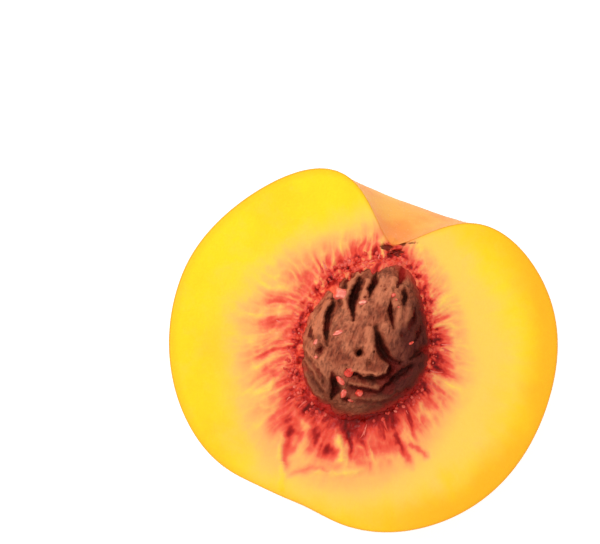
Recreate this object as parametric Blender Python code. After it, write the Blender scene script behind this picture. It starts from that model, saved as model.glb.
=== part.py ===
"""Half of a clingstone peach, lying on its round back with the stone held in its cut face.

Metres, +Z up. The cut face looks up, +Y runs along the fruit's axis to the stem end, +X is to the right
of someone who looks down on the cut with the stem end away from them. The origin is under the middle of
the half, on the surface it rests on.
"""
import math

import bmesh
import bpy
import numpy as np
from mathutils import Matrix

MM = 0.001

# The fruit
CHEEK_RADIUS = 37.05 * MM
BACK_RADIUS = 36.0 * MM
STEM_END = 35.4 * MM
TIP_END = 35.95 * MM
EQUATOR_X = -0.06 * MM
EQUATOR_Y = 1.22 * MM
CAVITY_X = -1.39 * MM
CAVITY_DEPTH = 15.4 * MM
CAVITY_RADIUS = 10.5 * MM
CAVITY_STEEPNESS = 1.53
TIP_LEAN = 0.7 * MM
TIP_LEAN_SPREAD = 0.3
TIP_HOLLOW = 3.45 * MM
TIP_HOLLOW_RADIUS = 13.7 * MM
BACK_SHOULDER_RISE = 1.25 * MM
RIGHT_SHOULDER_LEAN = 0.045
RIGHT_TIP_FULLNESS = 0.0135

# The suture crease runs down the left side, a little below the cut
SUTURE_ANGLE = math.radians(7.0)
SUTURE_DEPTH = 0.9 * MM
SUTURE_WIDTH = 3.2 * MM

# The cut, and the flat spot it rests on, as deep as the back is cut away there
SPOT_DEPTH = 0.6 * MM
CUT_HEIGHT = BACK_RADIUS - SPOT_DEPTH
SPOT_TOOL_SIZE = 30.0 * MM
KNIFE_HEIGHT = BACK_RADIUS + 10.0 * MM

# The stone: half-sizes from its centre, and how far its outline is from an ellipse
STONE_X = 0.81 * MM
STONE_Y = 1.21 * MM
STONE_HALF_WIDTH = 12.6 * MM
STONE_STEM_END = 17.0 * MM
STONE_TIP_END = 14.7 * MM
STONE_RISE = 9.5 * MM
STONE_SINK = 9.0 * MM
STONE_APEX_SHIFT = 1.2 * MM
STONE_BASE_LEAN = 0.12
STONE_LEAN_PIVOT = -3.0 * MM
STONE_BASE_FULLNESS = 2.0
STONE_STEM_FULLNESS = 1.75
STONE_LEFT_FULLNESS = 0.28
SOCKET_GAP = 0.4 * MM

# The torn rim of the flesh round the stone
RIM_RIDGES = ((29, 0.30 * MM, 0.4), (17, 0.22 * MM, 2.1), (47, 0.16 * MM, 5.0))
RIM_LIFT = 0.35 * MM
RIM_REACH = 5.0 * MM
RIM_END = 9.0 * MM
RIM_RINGS = (-2.0 * MM, 0.6 * MM, 2.2 * MM, 4.0 * MM, 6.2 * MM, RIM_END, 60.0 * MM)

# Mesh density
FRUIT_SIDES, FRUIT_RINGS = 72, 40
FRUIT_RING_CROWDING = 0.35
RIM_SIDES = 84
STONE_SIDES, STONE_RINGS = 72, 44
STONE_TOP_CROWDING = 0.3
SOCKET_SIDES, SOCKET_RINGS = 40, 20

# The stone's upper side, in mm from its centre. Furrows: points along each, half-width, depth
FURROWS = (
    (((-9.2, 5.9), (-9.0, 3.4), (-8.6, 1.1), (-8.0, -0.9), (-7.0, -3.0)), 0.70, 1.8),
    (((-5.7, 11.3), (-5.8, 9.1), (-5.6, 7.3), (-5.1, 5.2), (-4.1, 3.0)), 0.85, 2.2),
    (((-3.2, 13.6), (-2.9, 11.6), (-2.9, 10.3), (-2.7, 8.5)), 0.70, 1.6),
    (((0.9, 9.1), (1.7, 7.2), (2.4, 6.0), (3.6, 4.2)), 0.60, 1.4),
    (((1.3, 17.0), (1.6, 15.0), (1.7, 12.4)), 0.65, 1.4),
    (((3.0, 12.9), (3.6, 10.5), (4.4, 8.3)), 0.65, 1.3),
    (((0.3, 3.2), (1.5, 1.6), (2.5, 0.4), (3.7, -0.7), (5.3, -1.4), (7.0, -1.2)), 1.00, 2.3),
    (((12.6, 4.7), (10.5, 3.0), (9.3, 1.6), (8.5, 0.3)), 0.85, 1.1),
    (((-11.2, -0.3), (-10.9, -2.0), (-9.9, -2.9)), 0.65, 0.9),
    (((-4.5, -7.2), (-3.3, -8.9), (-2.7, -10.3), (-2.5, -12.4)), 0.90, 1.8),
    (((-7.4, 12.4), (-8.0, 9.6), (-7.9, 7.6)), 0.65, 0.8),
)

# Pits: centre, radius, depth
PITS = (
    ((-0.9, -2.1), 0.75, 1.6),
    ((1.6, -1.1), 0.45, 0.7),
    ((1.6, -3.5), 0.65, 0.7),
    ((-8.1, -4.1), 0.85, 1.2),
    ((-3.7, 8.1), 0.50, 0.6),
    ((10.4, -5.4), 0.65, 0.8),
    ((5.4, 3.8), 0.55, 0.6),
)

# Ledges where the shell's layers end, each stepping down on its tip side: points, drop, reach.
# LEDGE_EDGE is how far the step takes to fall.
LEDGE_EDGE = 1.1
LEDGES = (
    (((-2.4, -5.6), (-0.4, -5.7), (1.8, -5.6), (3.4, -5.1), (4.8, -4.3), (5.2, -3.2)), 2.0, 1.5),
    (((-1.4, -8.3), (2.8, -7.7), (5.0, -6.7), (6.4, -4.0), (8.4, -0.8), (9.8, 0.5)), 1.5, 1.4),
    (((0.8, -10.5), (4.8, -9.4), (6.8, -8.3), (8.8, -6.3), (10.9, -4.4)), 0.8, 1.2),
    (((-11.3, -4.3), (-9.6, -6.0), (-7.4, -7.1), (-5.6, -8.4), (-4.3, -9.8)), 1.1, 1.1),
    (((-10.6, -7.0), (-8.2, -8.3), (-7.0, -9.3), (-5.8, -10.3), (-3.6, -11.6)), 1.0, 1.1),
    (((-10.3, -8.7), (-8.6, -10.2), (-7.3, -11.4), (-5.8, -12.5), (-3.8, -13.2)), 0.8, 1.1),
)

# Shallow wandering furrows over the whole shell: waves round it, waves along it, half-depth, phase.
# They are SHELL_TOP_CALM shallower on the upper side, which has its own furrows.
SHELL_TOP_CALM = 0.4
SHELL_WAVES = (
    (11, 1.3, 0.14 * MM, 0.7),
    (17, 2.1, 0.10 * MM, 3.9),
    (7, 4.3, 0.08 * MM, 1.8),
    (5, 7.7, 0.05 * MM, 5.2),
)

# Colours in linear light, roughness
PEACH_COLOUR = (0.95, 0.62, 0.06, 1.0)
PEACH_ROUGHNESS = 0.42
STONE_COLOUR = (0.22, 0.075, 0.035, 1.0)
STONE_ROUGHNESS = 0.75


def clear_scene():
    """Remove what the scene holds."""
    for obj in list(bpy.data.objects):
        bpy.data.objects.remove(obj, do_unlink=True)


def new_collection(name):
    """Return a collection of this name under the scene."""
    collection = bpy.data.collections.new(name)
    bpy.context.scene.collection.children.link(collection)
    return collection


def new_material(name, colour, roughness):
    """Return a material with one Principled BSDF."""
    material = bpy.data.materials.new(name)
    material.use_nodes = True
    shader = material.node_tree.nodes["Principled BSDF"]
    shader.inputs["Base Color"].default_value = colour
    shader.inputs["Roughness"].default_value = roughness
    shader.inputs["Metallic"].default_value = 0.0
    return material


def sphere_object(name, collection, sides, rings, pole_on_y):
    """Add a unit sphere whose poles lie on Y or on Z."""
    turn = Matrix.Rotation(math.radians(-90.0 if pole_on_y else 0.0), 4, "X")
    bm = bmesh.new()
    bmesh.ops.create_uvsphere(bm, u_segments=sides, v_segments=rings, radius=1.0, matrix=turn)
    mesh = bpy.data.meshes.new(name)
    bm.to_mesh(mesh)
    bm.free()
    obj = bpy.data.objects.new(name, mesh)
    collection.objects.link(obj)
    return obj


def reshape(obj, rule):
    """Move every vertex of an object to where the rule sends its old place."""
    mesh = obj.data
    places = np.empty(len(mesh.vertices) * 3)
    mesh.vertices.foreach_get("co", places)
    moved = rule(*places.reshape(-1, 3).T)
    mesh.vertices.foreach_set("co", np.stack(moved, axis=1).ravel())
    mesh.update()


def blend(value, low, high):
    """Go smoothly from 0 at low to 1 at high."""
    share = np.clip((value - low) / (high - low), 0.0, 1.0)
    return share * share * (3.0 - 2.0 * share)


def fruit_form(x, y, z):
    """Send a unit sphere with its poles on Y to the skin of the whole fruit.

    u is the angle from the stem end. The fruit is a spheroid with unlike ends. A bell-shaped dip at
    the stem end is the cavity, a wide shallow one is at the tip, and a crease runs down the left side.
    """
    u = np.arccos(np.clip(y, -1.0, 1.0))
    u = u - FRUIT_RING_CROWDING * 0.5 * np.sin(u) * (1.0 + np.cos(u))
    reach = np.hypot(x, z)
    reach[reach == 0.0] = 1.0
    right, up = x / reach, z / reach
    around, along = np.sin(u), np.cos(u)
    stem_side = along > 0.0
    lopsided = np.where(stem_side, RIGHT_SHOULDER_LEAN * right, RIGHT_TIP_FULLNESS * (1.0 + right))
    width = around * (1.0 + lopsided * np.sin(2.0 * u) ** 2)

    crease_arc = CHEEK_RADIUS * around * (np.arctan2(-up, -right) - SUTURE_ANGLE)
    crease = SUTURE_DEPTH * np.exp(-(crease_arc / SUTURE_WIDTH) ** 2) * around
    radius_x = CHEEK_RADIUS - crease
    radius_z = BACK_RADIUS - crease

    stem_end = STEM_END + BACK_SHOULDER_RISE * np.clip(-up, 0.0, 1.0)
    tip_end = TIP_END + TIP_LEAN * right * blend(around, 0.0, TIP_LEAN_SPREAD)
    end = np.where(stem_side, stem_end, tip_end)
    distance = CHEEK_RADIUS * width
    cavity = CAVITY_DEPTH * np.exp(-(distance / CAVITY_RADIUS) ** CAVITY_STEEPNESS) * stem_side
    tip = TIP_HOLLOW * np.exp(-(distance / TIP_HOLLOW_RADIUS) ** 2) * ~stem_side
    return (
        EQUATOR_X + (CAVITY_X - EQUATOR_X) * along ** 2 + radius_x * width * right,
        EQUATOR_Y + end * along - cavity + tip,
        CUT_HEIGHT + radius_z * width * up,
    )


def stone_body(x, y, z, grow=0.0):
    """Send a unit sphere with its poles on Y to the smooth stone, larger by grow on every side.

    Its outline is a superellipse: pointed at the stem end, blunt and slanted at the tip end, fuller
    on the left.
    """
    u = np.arccos(np.clip(y, -1.0, 1.0))
    reach = np.hypot(x, z)
    reach[reach == 0.0] = 1.0
    right, up = x / reach, z / reach
    around, along = np.sin(u), np.cos(u)
    stem_share = blend(along, -0.3, 0.5)
    stem_fullness = STONE_STEM_FULLNESS - STONE_LEFT_FULLNESS * right
    fullness = STONE_BASE_FULLNESS + (stem_fullness - STONE_BASE_FULLNESS) * stem_share
    width = around ** (2.0 / fullness)
    length = np.sign(along) * np.abs(along) ** (2.0 / fullness)
    end = np.where(along > 0.0, STONE_STEM_END, STONE_TIP_END) + grow
    height = np.where(up > 0.0, STONE_RISE, STONE_SINK) + grow
    plan_x = (STONE_HALF_WIDTH + grow) * width * right
    plan_x = plan_x + STONE_APEX_SHIFT * np.clip(length, 0.0, 1.0) ** 2
    plan_y = end * length + STONE_BASE_LEAN * (plan_x - STONE_LEAN_PIVOT) * blend(-along, 0.0, 1.0)
    return plan_x, plan_y, height * width * up


def smooth_line(points, steps=6):
    """Return points along a smooth curve (Catmull-Rom) through the given ones."""
    knots = np.array(points)
    before = np.vstack([2.0 * knots[0] - knots[1], knots[:-1]])
    after = np.vstack([knots[1:], 2.0 * knots[-1] - knots[-2]])
    slopes = (after - before) / 2.0
    t = np.linspace(0.0, 1.0, steps, endpoint=False)[:, None]
    spans = [
        (2.0 * t**3 - 3.0 * t**2 + 1.0) * knots[i]
        + (t**3 - 2.0 * t**2 + t) * slopes[i]
        + (3.0 * t**2 - 2.0 * t**3) * knots[i + 1]
        + (t**3 - t**2) * slopes[i + 1]
        for i in range(len(knots) - 1)
    ]
    return np.vstack(spans + [knots[-1:]])


def line_distance(x, y, line):
    """Return each point's distance from a line, its share along it, and its side (+1 on the right)."""
    start, span = line[:-1], np.diff(line, axis=0)
    to_x = x[:, None] - start[:, 0]
    to_y = y[:, None] - start[:, 1]
    share = np.clip((to_x * span[:, 0] + to_y * span[:, 1]) / (span**2).sum(axis=1), 0.0, 1.0)
    off_x = to_x - share * span[:, 0]
    off_y = to_y - share * span[:, 1]
    gaps = np.hypot(off_x, off_y)
    nearest = gaps.argmin(axis=1)
    rows = np.arange(len(x))
    along = (nearest + share[rows, nearest]) / len(span)
    cross = span[nearest, 0] * off_y[rows, nearest] - span[nearest, 1] * off_x[rows, nearest]
    return gaps[rows, nearest], along, np.where(cross < 0.0, 1.0, -1.0)


def shell_relief(x, y):
    """Return how far the stone's upper side is sunk, in mm, at plan x and y in mm.

    A furrow is a bell-shaped trough along its line that fades at its ends. A pit is a round one. A
    ledge drops at its line and climbs back over its reach.
    """
    depth = np.zeros_like(x)
    for points, half_width, deep in FURROWS:
        gap, along, _ = line_distance(x, y, smooth_line(points))
        fade = blend(along, 0.0, 0.2) * (1.0 - 0.6 * blend(along, 0.75, 1.0))
        depth = np.maximum(depth, deep * fade * np.exp(-(gap / half_width) ** 2))
    for (pit_x, pit_y), radius, deep in PITS:
        depth = np.maximum(depth, deep * np.exp(-((x - pit_x) ** 2 + (y - pit_y) ** 2) / radius**2))
    for points, drop, reach in LEDGES:
        gap, along, side = line_distance(x, y, smooth_line(points))
        below = np.clip(side * gap, 0.0, None)
        fade = blend(along, 0.0, 0.15) * (1.0 - blend(along, 0.85, 1.0))
        depth = depth + drop * fade * blend(below, 0.0, LEDGE_EDGE) * np.exp(-below / reach)
    return depth


def stone_form(x, y, z):
    """Send a unit sphere with its poles on Y to the furrowed stone, in its place in the cut.

    The sphere's sides are first crowded toward the top, where the furrows are finer. The shallow
    furrows are sunk along the body's normal, and the upper side's relief straight down.
    """
    reach = np.hypot(x, z)
    turn = np.arctan2(z, x)
    turn = turn + STONE_TOP_CROWDING * np.cos(turn)
    body_x, body_y, body_z = stone_body(reach * np.cos(turn), y, reach * np.sin(turn))
    depth = np.zeros_like(x)
    for round_count, along_count, half_depth, phase in SHELL_WAVES:
        wave = np.sin(round_count * turn + along_count * math.pi * y + phase)
        depth = depth + half_depth * (1.0 + wave)
    top_share = blend(body_z / STONE_RISE, -0.05, 0.25)
    depth = depth * reach * (1.0 - SHELL_TOP_CALM * top_share)
    sunk = MM * shell_relief(body_x / MM, body_y / MM) * top_share
    normal_x = body_x / STONE_HALF_WIDTH**2
    normal_y = body_y / STONE_STEM_END**2
    normal_z = body_z / STONE_RISE**2
    inward = depth / np.sqrt(normal_x**2 + normal_y**2 + normal_z**2)
    return (
        STONE_X + body_x - inward * normal_x,
        STONE_Y + body_y - inward * normal_y,
        CUT_HEIGHT + body_z - inward * normal_z - sunk,
    )


def socket_form(x, y, z):
    """Send a unit sphere with its poles on Y to the smooth stone with a gap all round."""
    body_x, body_y, body_z = stone_body(x, y, z, grow=SOCKET_GAP)
    return STONE_X + body_x, STONE_Y + body_y, CUT_HEIGHT + body_z


def stone_edge(angle):
    """Return the distance from the stone's centre to its outline at an angle from +X.

    The outline comes from the body's own rule, read at fine steps round the cut plane.
    """
    u = np.linspace(0.0, 2.0 * math.pi, 721)
    plan_x, plan_y, _ = stone_body(np.sin(u), np.cos(u), np.zeros_like(u))
    angles = np.arctan2(plan_y, plan_x)
    order = np.argsort(angles)
    return np.interp(angle, angles[order], np.hypot(plan_x, plan_y)[order], period=2.0 * math.pi)


def rim_height(angle, distance):
    """Return the height of the torn flesh over the cut plane, by angle and distance from the stone."""
    ridges = sum(size * np.sin(count * angle + phase) for count, size, phase in RIM_RIDGES)
    near = np.exp(-(distance / RIM_REACH) ** 2) * (1.0 - blend(distance, 0.8 * RIM_END, RIM_END))
    return (RIM_LIFT + ridges) * near


def knife_form(x, y, z):
    """Send a unit sphere with its poles on Z to the block above the cut.

    Its lower half is spread into rings round the stone that carry the torn rim, its upper half is
    the block's flat top.
    """
    below = np.arccos(np.clip(np.abs(z), 0.0, 1.0)) / (math.pi / 2.0)
    ring = np.rint(below * len(RIM_RINGS)).astype(int)
    angle = np.arctan2(y, x)
    edge = stone_edge(angle)
    distance = np.array((0.0,) + RIM_RINGS)[ring]
    radius = np.where(ring == 0, 0.0, edge + distance)
    face = z <= 1e-6
    height = np.where(face, rim_height(angle, np.maximum(distance, 0.0)), KNIFE_HEIGHT)
    return STONE_X + radius * np.cos(angle), STONE_Y + radius * np.sin(angle), CUT_HEIGHT + height


def box_object(name, collection, size, centre):
    """Add a cube of this size, centred here."""
    bm = bmesh.new()
    bmesh.ops.create_cube(bm, size=size, matrix=Matrix.Translation(centre))
    mesh = bpy.data.meshes.new(name)
    bm.to_mesh(mesh)
    bm.free()
    obj = bpy.data.objects.new(name, mesh)
    collection.objects.link(obj)
    return obj


def cut_away(obj, cutter):
    """Cut one object from another, and keep the cutter out of sight."""
    modifier = obj.modifiers.new("cut_" + cutter.name, "BOOLEAN")
    modifier.operation = "DIFFERENCE"
    modifier.solver = "EXACT"
    modifier.object = cutter
    cutter.hide_render = True
    cutter.display_type = "WIRE"


def make_peach_half(parts, cutters):
    """Model the flesh and skin of the half: the whole fruit less the knife, the flat spot and the socket."""
    half = sphere_object("peach_half", parts, FRUIT_SIDES, FRUIT_RINGS, pole_on_y=True)
    reshape(half, fruit_form)

    knife = sphere_object("knife", cutters, RIM_SIDES, 2 * len(RIM_RINGS), pole_on_y=False)
    reshape(knife, knife_form)
    socket = sphere_object("socket", cutters, SOCKET_SIDES, SOCKET_RINGS, pole_on_y=True)
    reshape(socket, socket_form)
    spot_centre = (0.0, 0.0, -SPOT_TOOL_SIZE / 2.0)
    spot = box_object("flat_spot", cutters, SPOT_TOOL_SIZE, spot_centre)
    for cutter in (knife, socket, spot):
        cut_away(half, cutter)

    half.data.shade_smooth()
    half.data.materials.append(new_material("peach_half", PEACH_COLOUR, PEACH_ROUGHNESS))


def make_stone(parts):
    """Model the stone."""
    stone = sphere_object("stone", parts, STONE_SIDES, STONE_RINGS, pole_on_y=True)
    reshape(stone, stone_form)
    stone.data.shade_smooth()
    stone.data.materials.append(new_material("stone", STONE_COLOUR, STONE_ROUGHNESS))


def main():
    clear_scene()
    parts = new_collection("clingstone_peach_half")
    cutters = new_collection("cutters")
    make_peach_half(parts, cutters)
    make_stone(parts)


main()
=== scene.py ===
"""The looks of half a clingstone peach that lies on its round back, its stone held in the cut face.

Metres, +Z up. The cut face looks up, +Y runs along the fruit's axis to the stem end.
"""

import math

import bpy
import numpy as np
from mathutils import Matrix, Vector


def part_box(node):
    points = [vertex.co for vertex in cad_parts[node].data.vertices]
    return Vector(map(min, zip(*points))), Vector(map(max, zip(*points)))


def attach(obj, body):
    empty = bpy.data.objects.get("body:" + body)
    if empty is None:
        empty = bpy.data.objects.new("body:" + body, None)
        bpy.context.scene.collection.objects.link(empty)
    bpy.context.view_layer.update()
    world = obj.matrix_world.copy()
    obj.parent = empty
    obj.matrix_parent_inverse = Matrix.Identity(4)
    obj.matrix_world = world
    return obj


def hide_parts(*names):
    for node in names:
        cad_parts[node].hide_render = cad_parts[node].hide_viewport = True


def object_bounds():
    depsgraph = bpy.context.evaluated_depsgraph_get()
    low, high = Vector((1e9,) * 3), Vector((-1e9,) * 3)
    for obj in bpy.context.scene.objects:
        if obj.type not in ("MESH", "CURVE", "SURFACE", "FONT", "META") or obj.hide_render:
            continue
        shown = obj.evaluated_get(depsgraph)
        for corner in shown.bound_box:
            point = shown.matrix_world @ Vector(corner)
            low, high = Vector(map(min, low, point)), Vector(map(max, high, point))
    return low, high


bl_info = {
    "name": "Clingstone Peach Half",
    "version": (1, 0, 0),
    "blender": (4, 5, 0),
    "location": "3D View > Sidebar > Peach",
    "description": "Models the cut half of a clingstone peach with its furrowed stone",
    "category": "Add Mesh",
}

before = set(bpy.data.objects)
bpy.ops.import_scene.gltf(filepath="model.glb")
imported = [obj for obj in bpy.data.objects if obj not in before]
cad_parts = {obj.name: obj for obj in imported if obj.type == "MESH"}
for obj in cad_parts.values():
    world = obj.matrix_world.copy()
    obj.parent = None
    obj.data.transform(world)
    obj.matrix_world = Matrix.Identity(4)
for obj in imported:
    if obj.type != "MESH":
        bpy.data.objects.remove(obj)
CAD_LOW, CAD_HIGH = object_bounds()
STONE_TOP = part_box("stone")[1][2]

MM = 0.001

# The fruit
EQUATOR_X = -0.06 * MM
EQUATOR_Y = 1.22 * MM
CAVITY_X = -1.39 * MM
CAVITY_STEEPNESS = 1.53
TIP_LEAN = 0.7 * MM
TIP_LEAN_SPREAD = 0.3
TIP_HOLLOW = 3.45 * MM
TIP_HOLLOW_RADIUS = 13.7 * MM
BACK_SHOULDER_RISE = 1.25 * MM
RIGHT_SHOULDER_LEAN = 0.045
RIGHT_TIP_FULLNESS = 0.0135
SUTURE_ANGLE = math.radians(7.0)
SUTURE_DEPTH = 0.9 * MM
SUTURE_WIDTH = 3.2 * MM
CUT_HEIGHT = 35.4 * MM
FUZZ_ROOM = 0.06 * MM

# The stone, from its centre
STONE_X = 0.81 * MM
STONE_Y = 1.21 * MM
STONE_STEM_END = 17.0 * MM
STONE_TIP_END = 14.7 * MM
STONE_SINK = 9.0 * MM
STONE_APEX_SHIFT = 1.2 * MM
STONE_BASE_LEAN = 0.12
STONE_LEAN_PIVOT = -3.0 * MM
STONE_BASE_FULLNESS = 2.0
STONE_STEM_FULLNESS = 1.75
STONE_LEFT_FULLNESS = 0.28
SOCKET_GAP = 0.25 * MM

# Furrows on the stone's upper side, in mm from its centre: points along each, half-width, depth
FURROWS = (
    (((-9.2, 5.9), (-9.0, 3.4), (-8.6, 1.1), (-8.0, -0.9), (-7.0, -3.0)), 0.55, 2.6),
    (((-5.7, 11.3), (-5.8, 9.1), (-5.6, 7.3), (-5.1, 5.2), (-4.1, 3.0)), 0.72, 3.2),
    (((-3.2, 13.6), (-2.9, 11.6), (-2.9, 10.3), (-2.7, 8.5)), 0.55, 2.4),
    (((0.9, 9.1), (1.7, 7.2), (2.4, 6.0), (3.6, 4.2)), 0.42, 2.4),
    (((1.3, 17.0), (1.6, 15.0), (1.7, 12.4)), 0.50, 2.4),
    (((3.0, 12.9), (3.6, 10.5), (4.4, 8.3)), 0.52, 2.0),
    (((0.3, 3.2), (1.5, 1.6), (2.5, 0.4), (3.7, -0.7), (5.3, -1.4), (7.0, -1.2)), 0.88, 3.2),
    (((12.6, 4.7), (10.5, 3.0), (9.3, 1.6), (8.5, 0.3)), 0.55, 2.2),
    (((-11.2, -0.3), (-10.9, -2.0), (-9.9, -2.9)), 0.45, 1.5),
    (((-4.5, -7.2), (-3.3, -8.9), (-2.7, -10.3), (-2.5, -12.4)), 0.75, 2.8),
    (((-0.9, -11.3), (1.3, -11.2)), 0.50, 1.4),
    (((6.2, 9.6), (6.6, 7.2), (6.5, 5.0)), 0.40, 1.2),
    (((8.3, 7.6), (8.7, 5.4), (8.4, 3.6)), 0.40, 1.2),
    (((-7.4, 12.4), (-8.0, 9.6), (-7.9, 7.6)), 0.40, 1.3),
)

# Ridges beside the furrows: points along each, half-width, rise
RIDGES = (
    (((-5.3, 13.6), (-6.9, 10.9), (-7.1, 8.2), (-6.4, 5.5), (-5.2, 3.6)), 0.50, 0.75),
    (((-4.4, 12.4), (-4.3, 9.6), (-3.9, 6.4)), 0.60, 0.45),
    (((-10.4, 5.6), (-10.2, 2.4), (-9.4, -1.0)), 0.50, 0.60),
    (((-1.9, 13.4), (-1.5, 10.4), (-0.9, 7.0)), 0.70, 0.45),
    (((0.2, 14.4), (0.5, 11.6), (0.3, 9.4)), 0.60, 0.40),
    (((3.1, 9.0), (3.9, 6.4), (5.0, 3.6)), 0.55, 0.50),
    (((5.2, 11.0), (5.5, 8.2), (5.4, 5.6)), 0.50, 0.45),
    (((-1.2, 3.2), (0.2, 0.6), (2.0, -1.8)), 0.80, 0.45),
)

# Pits: centre, radius, depth
PITS = (
    ((-0.9, -2.1), 0.68, 2.8),
    ((1.6, -1.1), 0.34, 1.5),
    ((1.6, -3.5), 0.60, 1.0),
    ((-8.1, -4.1), 0.85, 1.9),
    ((-3.7, 8.1), 0.40, 1.0),
    ((-1.3, 11.4), 0.28, 0.7),
    ((-0.2, 10.8), 0.26, 0.7),
    ((-0.7, 3.3), 0.36, 0.9),
    ((-7.8, 5.5), 0.55, 1.1),
    ((10.4, -5.4), 0.60, 1.3),
    ((8.5, 4.9), 0.40, 1.0),
    ((5.4, 3.8), 0.45, 0.9),
)

# Ledges where the shell's layers end, each stepping down on its tip side: points, drop, reach
LEDGE_EDGE = 0.5
LEDGES = (
    (((-2.4, -5.6), (-0.9, -5.8), (0.4, -5.6), (1.8, -5.6), (3.4, -5.1), (4.8, -4.3), (5.2, -3.2),
      (4.8, -1.7)), 3.0, 1.3),
    (((-1.4, -8.3), (0.6, -8.1), (2.8, -7.7), (5.0, -6.7), (6.4, -4.0), (7.2, -2.5), (8.4, -0.8),
      (9.8, 0.5)), 2.4, 1.3),
    (((0.8, -10.5), (2.9, -9.9), (4.8, -9.4), (6.8, -8.3), (8.8, -6.3), (10.9, -4.4)), 1.1, 1.1),
    (((-11.3, -4.3), (-9.6, -6.0), (-7.4, -7.1), (-5.6, -8.4), (-4.3, -9.8)), 1.6, 0.9),
    (((-10.6, -7.0), (-8.2, -8.3), (-7.0, -9.3), (-5.8, -10.3), (-3.6, -11.6)), 1.5, 0.9),
    (((-10.3, -8.7), (-8.6, -10.2), (-7.3, -11.4), (-5.8, -12.5), (-3.8, -13.2)), 1.2, 0.9),
)
SHELL_SKIN = 0.55

# Folds torn into the flesh below the stone, in mm: points along each, half-width, rise, and how much paler;
# the paleness follows the rise, partly the flesh's own streaks and partly painted light and shade
FOLDS = (
    (((-1.2, -24.4), (0.6, -24.4), (4.2, -23.3), (7.4, -21.7), (9.6, -19.3)), 0.45, 0.28, 0.12),
    (((-3.8, -30.8), (-5.1, -28.2), (-6.5, -25.0), (-7.7, -22.4), (-8.1, -19.9)), 0.40, 0.24, 0.14),
    (((1.4, -15.4), (3.2, -18.9), (4.9, -21.9)), 0.90, 0.40, 0.32),
    (((-6.2, -17.8), (-6.8, -19.8), (-6.0, -23.4), (-4.9, -27.2)), 0.80, -0.25, -0.34),
    (((-4.8, -17.8), (-4.9, -21.3), (-4.9, -24.0)), 0.60, -0.20, -0.20),
    (((-3.6, -16.6), (-1.3, -18.9), (1.9, -22.6)), 1.30, -0.20, -0.24),
    (((2.8, -14.3), (4.5, -17.1), (6.2, -20.4)), 0.45, -0.30, -0.22),
    (((11.3, -12.0), (13.8, -14.2), (17.8, -17.8)), 0.75, -0.25, -0.36),
    (((14.2, -13.0), (17.2, -13.9), (20.0, -14.4)), 0.50, -0.20, -0.30),
    (((-5.0, -27.3), (-2.4, -25.5), (0.6, -23.9), (3.9, -23.9)), 0.60, -0.10, -0.20),
)

# Dark scraps of the stem scar on the cut face, in mm: centre, half-width, half-height, depth
SCAR_BLOTS = (
    ((-1.90, 20.40), 1.5, 0.50, 0.9), ((-0.20, 20.00), 1.2, 0.70, 1.0), ((0.60, 21.90), 0.7, 0.50, 0.5),
    ((1.70, 22.60), 1.30, 0.11, 0.3), ((-1.20, 19.20), 0.5, 0.35, 0.4),
)

# Where the stalk was
SCAR_PLACE = (-0.5 * MM, 20.5 * MM, 35.0 * MM)

# Bits of flesh left on the stone, in mm from its centre: place, length, width, turn in degrees, tint
PULP_BITS = (
    ((-8.2, 7.0), 2.6, 2.2, 60.0, 0.90), ((-3.6, 6.9), 1.5, 0.8, 35.0, 1.05),
    ((-5.9, -0.1), 2.0, 0.8, 45.0, 0.90), ((-9.2, -3.1), 1.2, 0.7, 80.0, 0.80),
    ((-8.1, -5.7), 0.7, 0.6, 0.0, 0.80), ((-1.4, -6.2), 1.9, 1.6, 70.0, 0.36),
    ((-2.3, -8.2), 2.1, 0.9, -25.0, 0.62), ((1.8, -9.1), 1.5, 1.3, 60.0, 0.42),
    ((-0.9, -10.2), 1.7, 1.1, 85.0, 0.66), ((1.3, 10.3), 1.0, 0.7, 60.0, 0.60),
    ((2.1, 9.7), 0.5, 0.4, 0.0, 0.70), ((3.0, 8.5), 0.5, 0.4, 0.0, 0.70),
    ((7.5, 3.0), 1.3, 0.5, 50.0, 0.40), ((0.8, -10.9), 1.2, 0.5, 10.0, 0.55),
)

# Clusters of wet cells: angle from +X in degrees, distance from the stone in mm, spreads, how many
CELL_CLUSTERS = (
    (112.0, -1.2, 9.0, 1.0, 90), (98.0, -0.6, 7.0, 0.8, 40), (134.0, -0.2, 7.0, 0.7, 30),
    (123.0, 1.2, 6.0, 0.5, 20), (222.0, 1.0, 9.0, 0.8, 34), (205.0, 0.6, 6.0, 0.6, 14),
    (246.0, 1.0, 8.0, 0.6, 16), (318.0, 0.4, 12.0, 0.7, 12), (335.0, 0.8, 5.0, 0.5, 14),
    (20.0, 0.3, 8.0, 0.5, 14), (172.0, 0.3, 12.0, 0.6, 22),
)

# How far flesh climbs over the stone's edge, in radians of the way to its crown: place, width, reach
LIP_REACH = 0.17
LIPS = (
    (112.0, 15.0, 0.40), (92.0, 8.0, 0.10), (141.0, 5.5, 0.34), (285.0, 16.0, 0.06),
    (205.0, 9.0, 0.10), (20.0, 7.0, 0.12),
)

# That lip's thickness in mm at the stone's outline, its edge's, how high its underside lies over the
# stone, and how far up the underside reaches, as a share of the lip
LIP_THICKNESS, LIP_EDGE, LIP_UNDERSIDE, LIP_BACK = 0.50, 0.03, 0.012, 0.96

# How far the red of the torn rim reaches from the stone, in mm, by angle from +X in degrees
RED_ANGLES = (6, 36, 66, 82, 98, 126, 156, 186, 216, 246, 276, 306, 336)
RED_REACHES = (6.2, 5.0, 4.2, 3.8, 6.4, 5.0, 7.7, 9.8, 8.2, 9.8, 9.0, 8.2, 5.8)
REACH_BLUR = 10.0
REACH_POWER = 1.3

# How far the flesh at the stone is from the deepest red, and how much nearer it comes below the
# stone: the middle and half-width of that place in degrees, and by how much
EDGE_RED = 0.37
DEEP_ANGLE, DEEP_WIDTH, DEEP_RED = 294.0, 50.0, 0.31

# A distance from the rim, in mm, at which the face has nothing of the rim any more
FAR_INSIDE = 20.0

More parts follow.
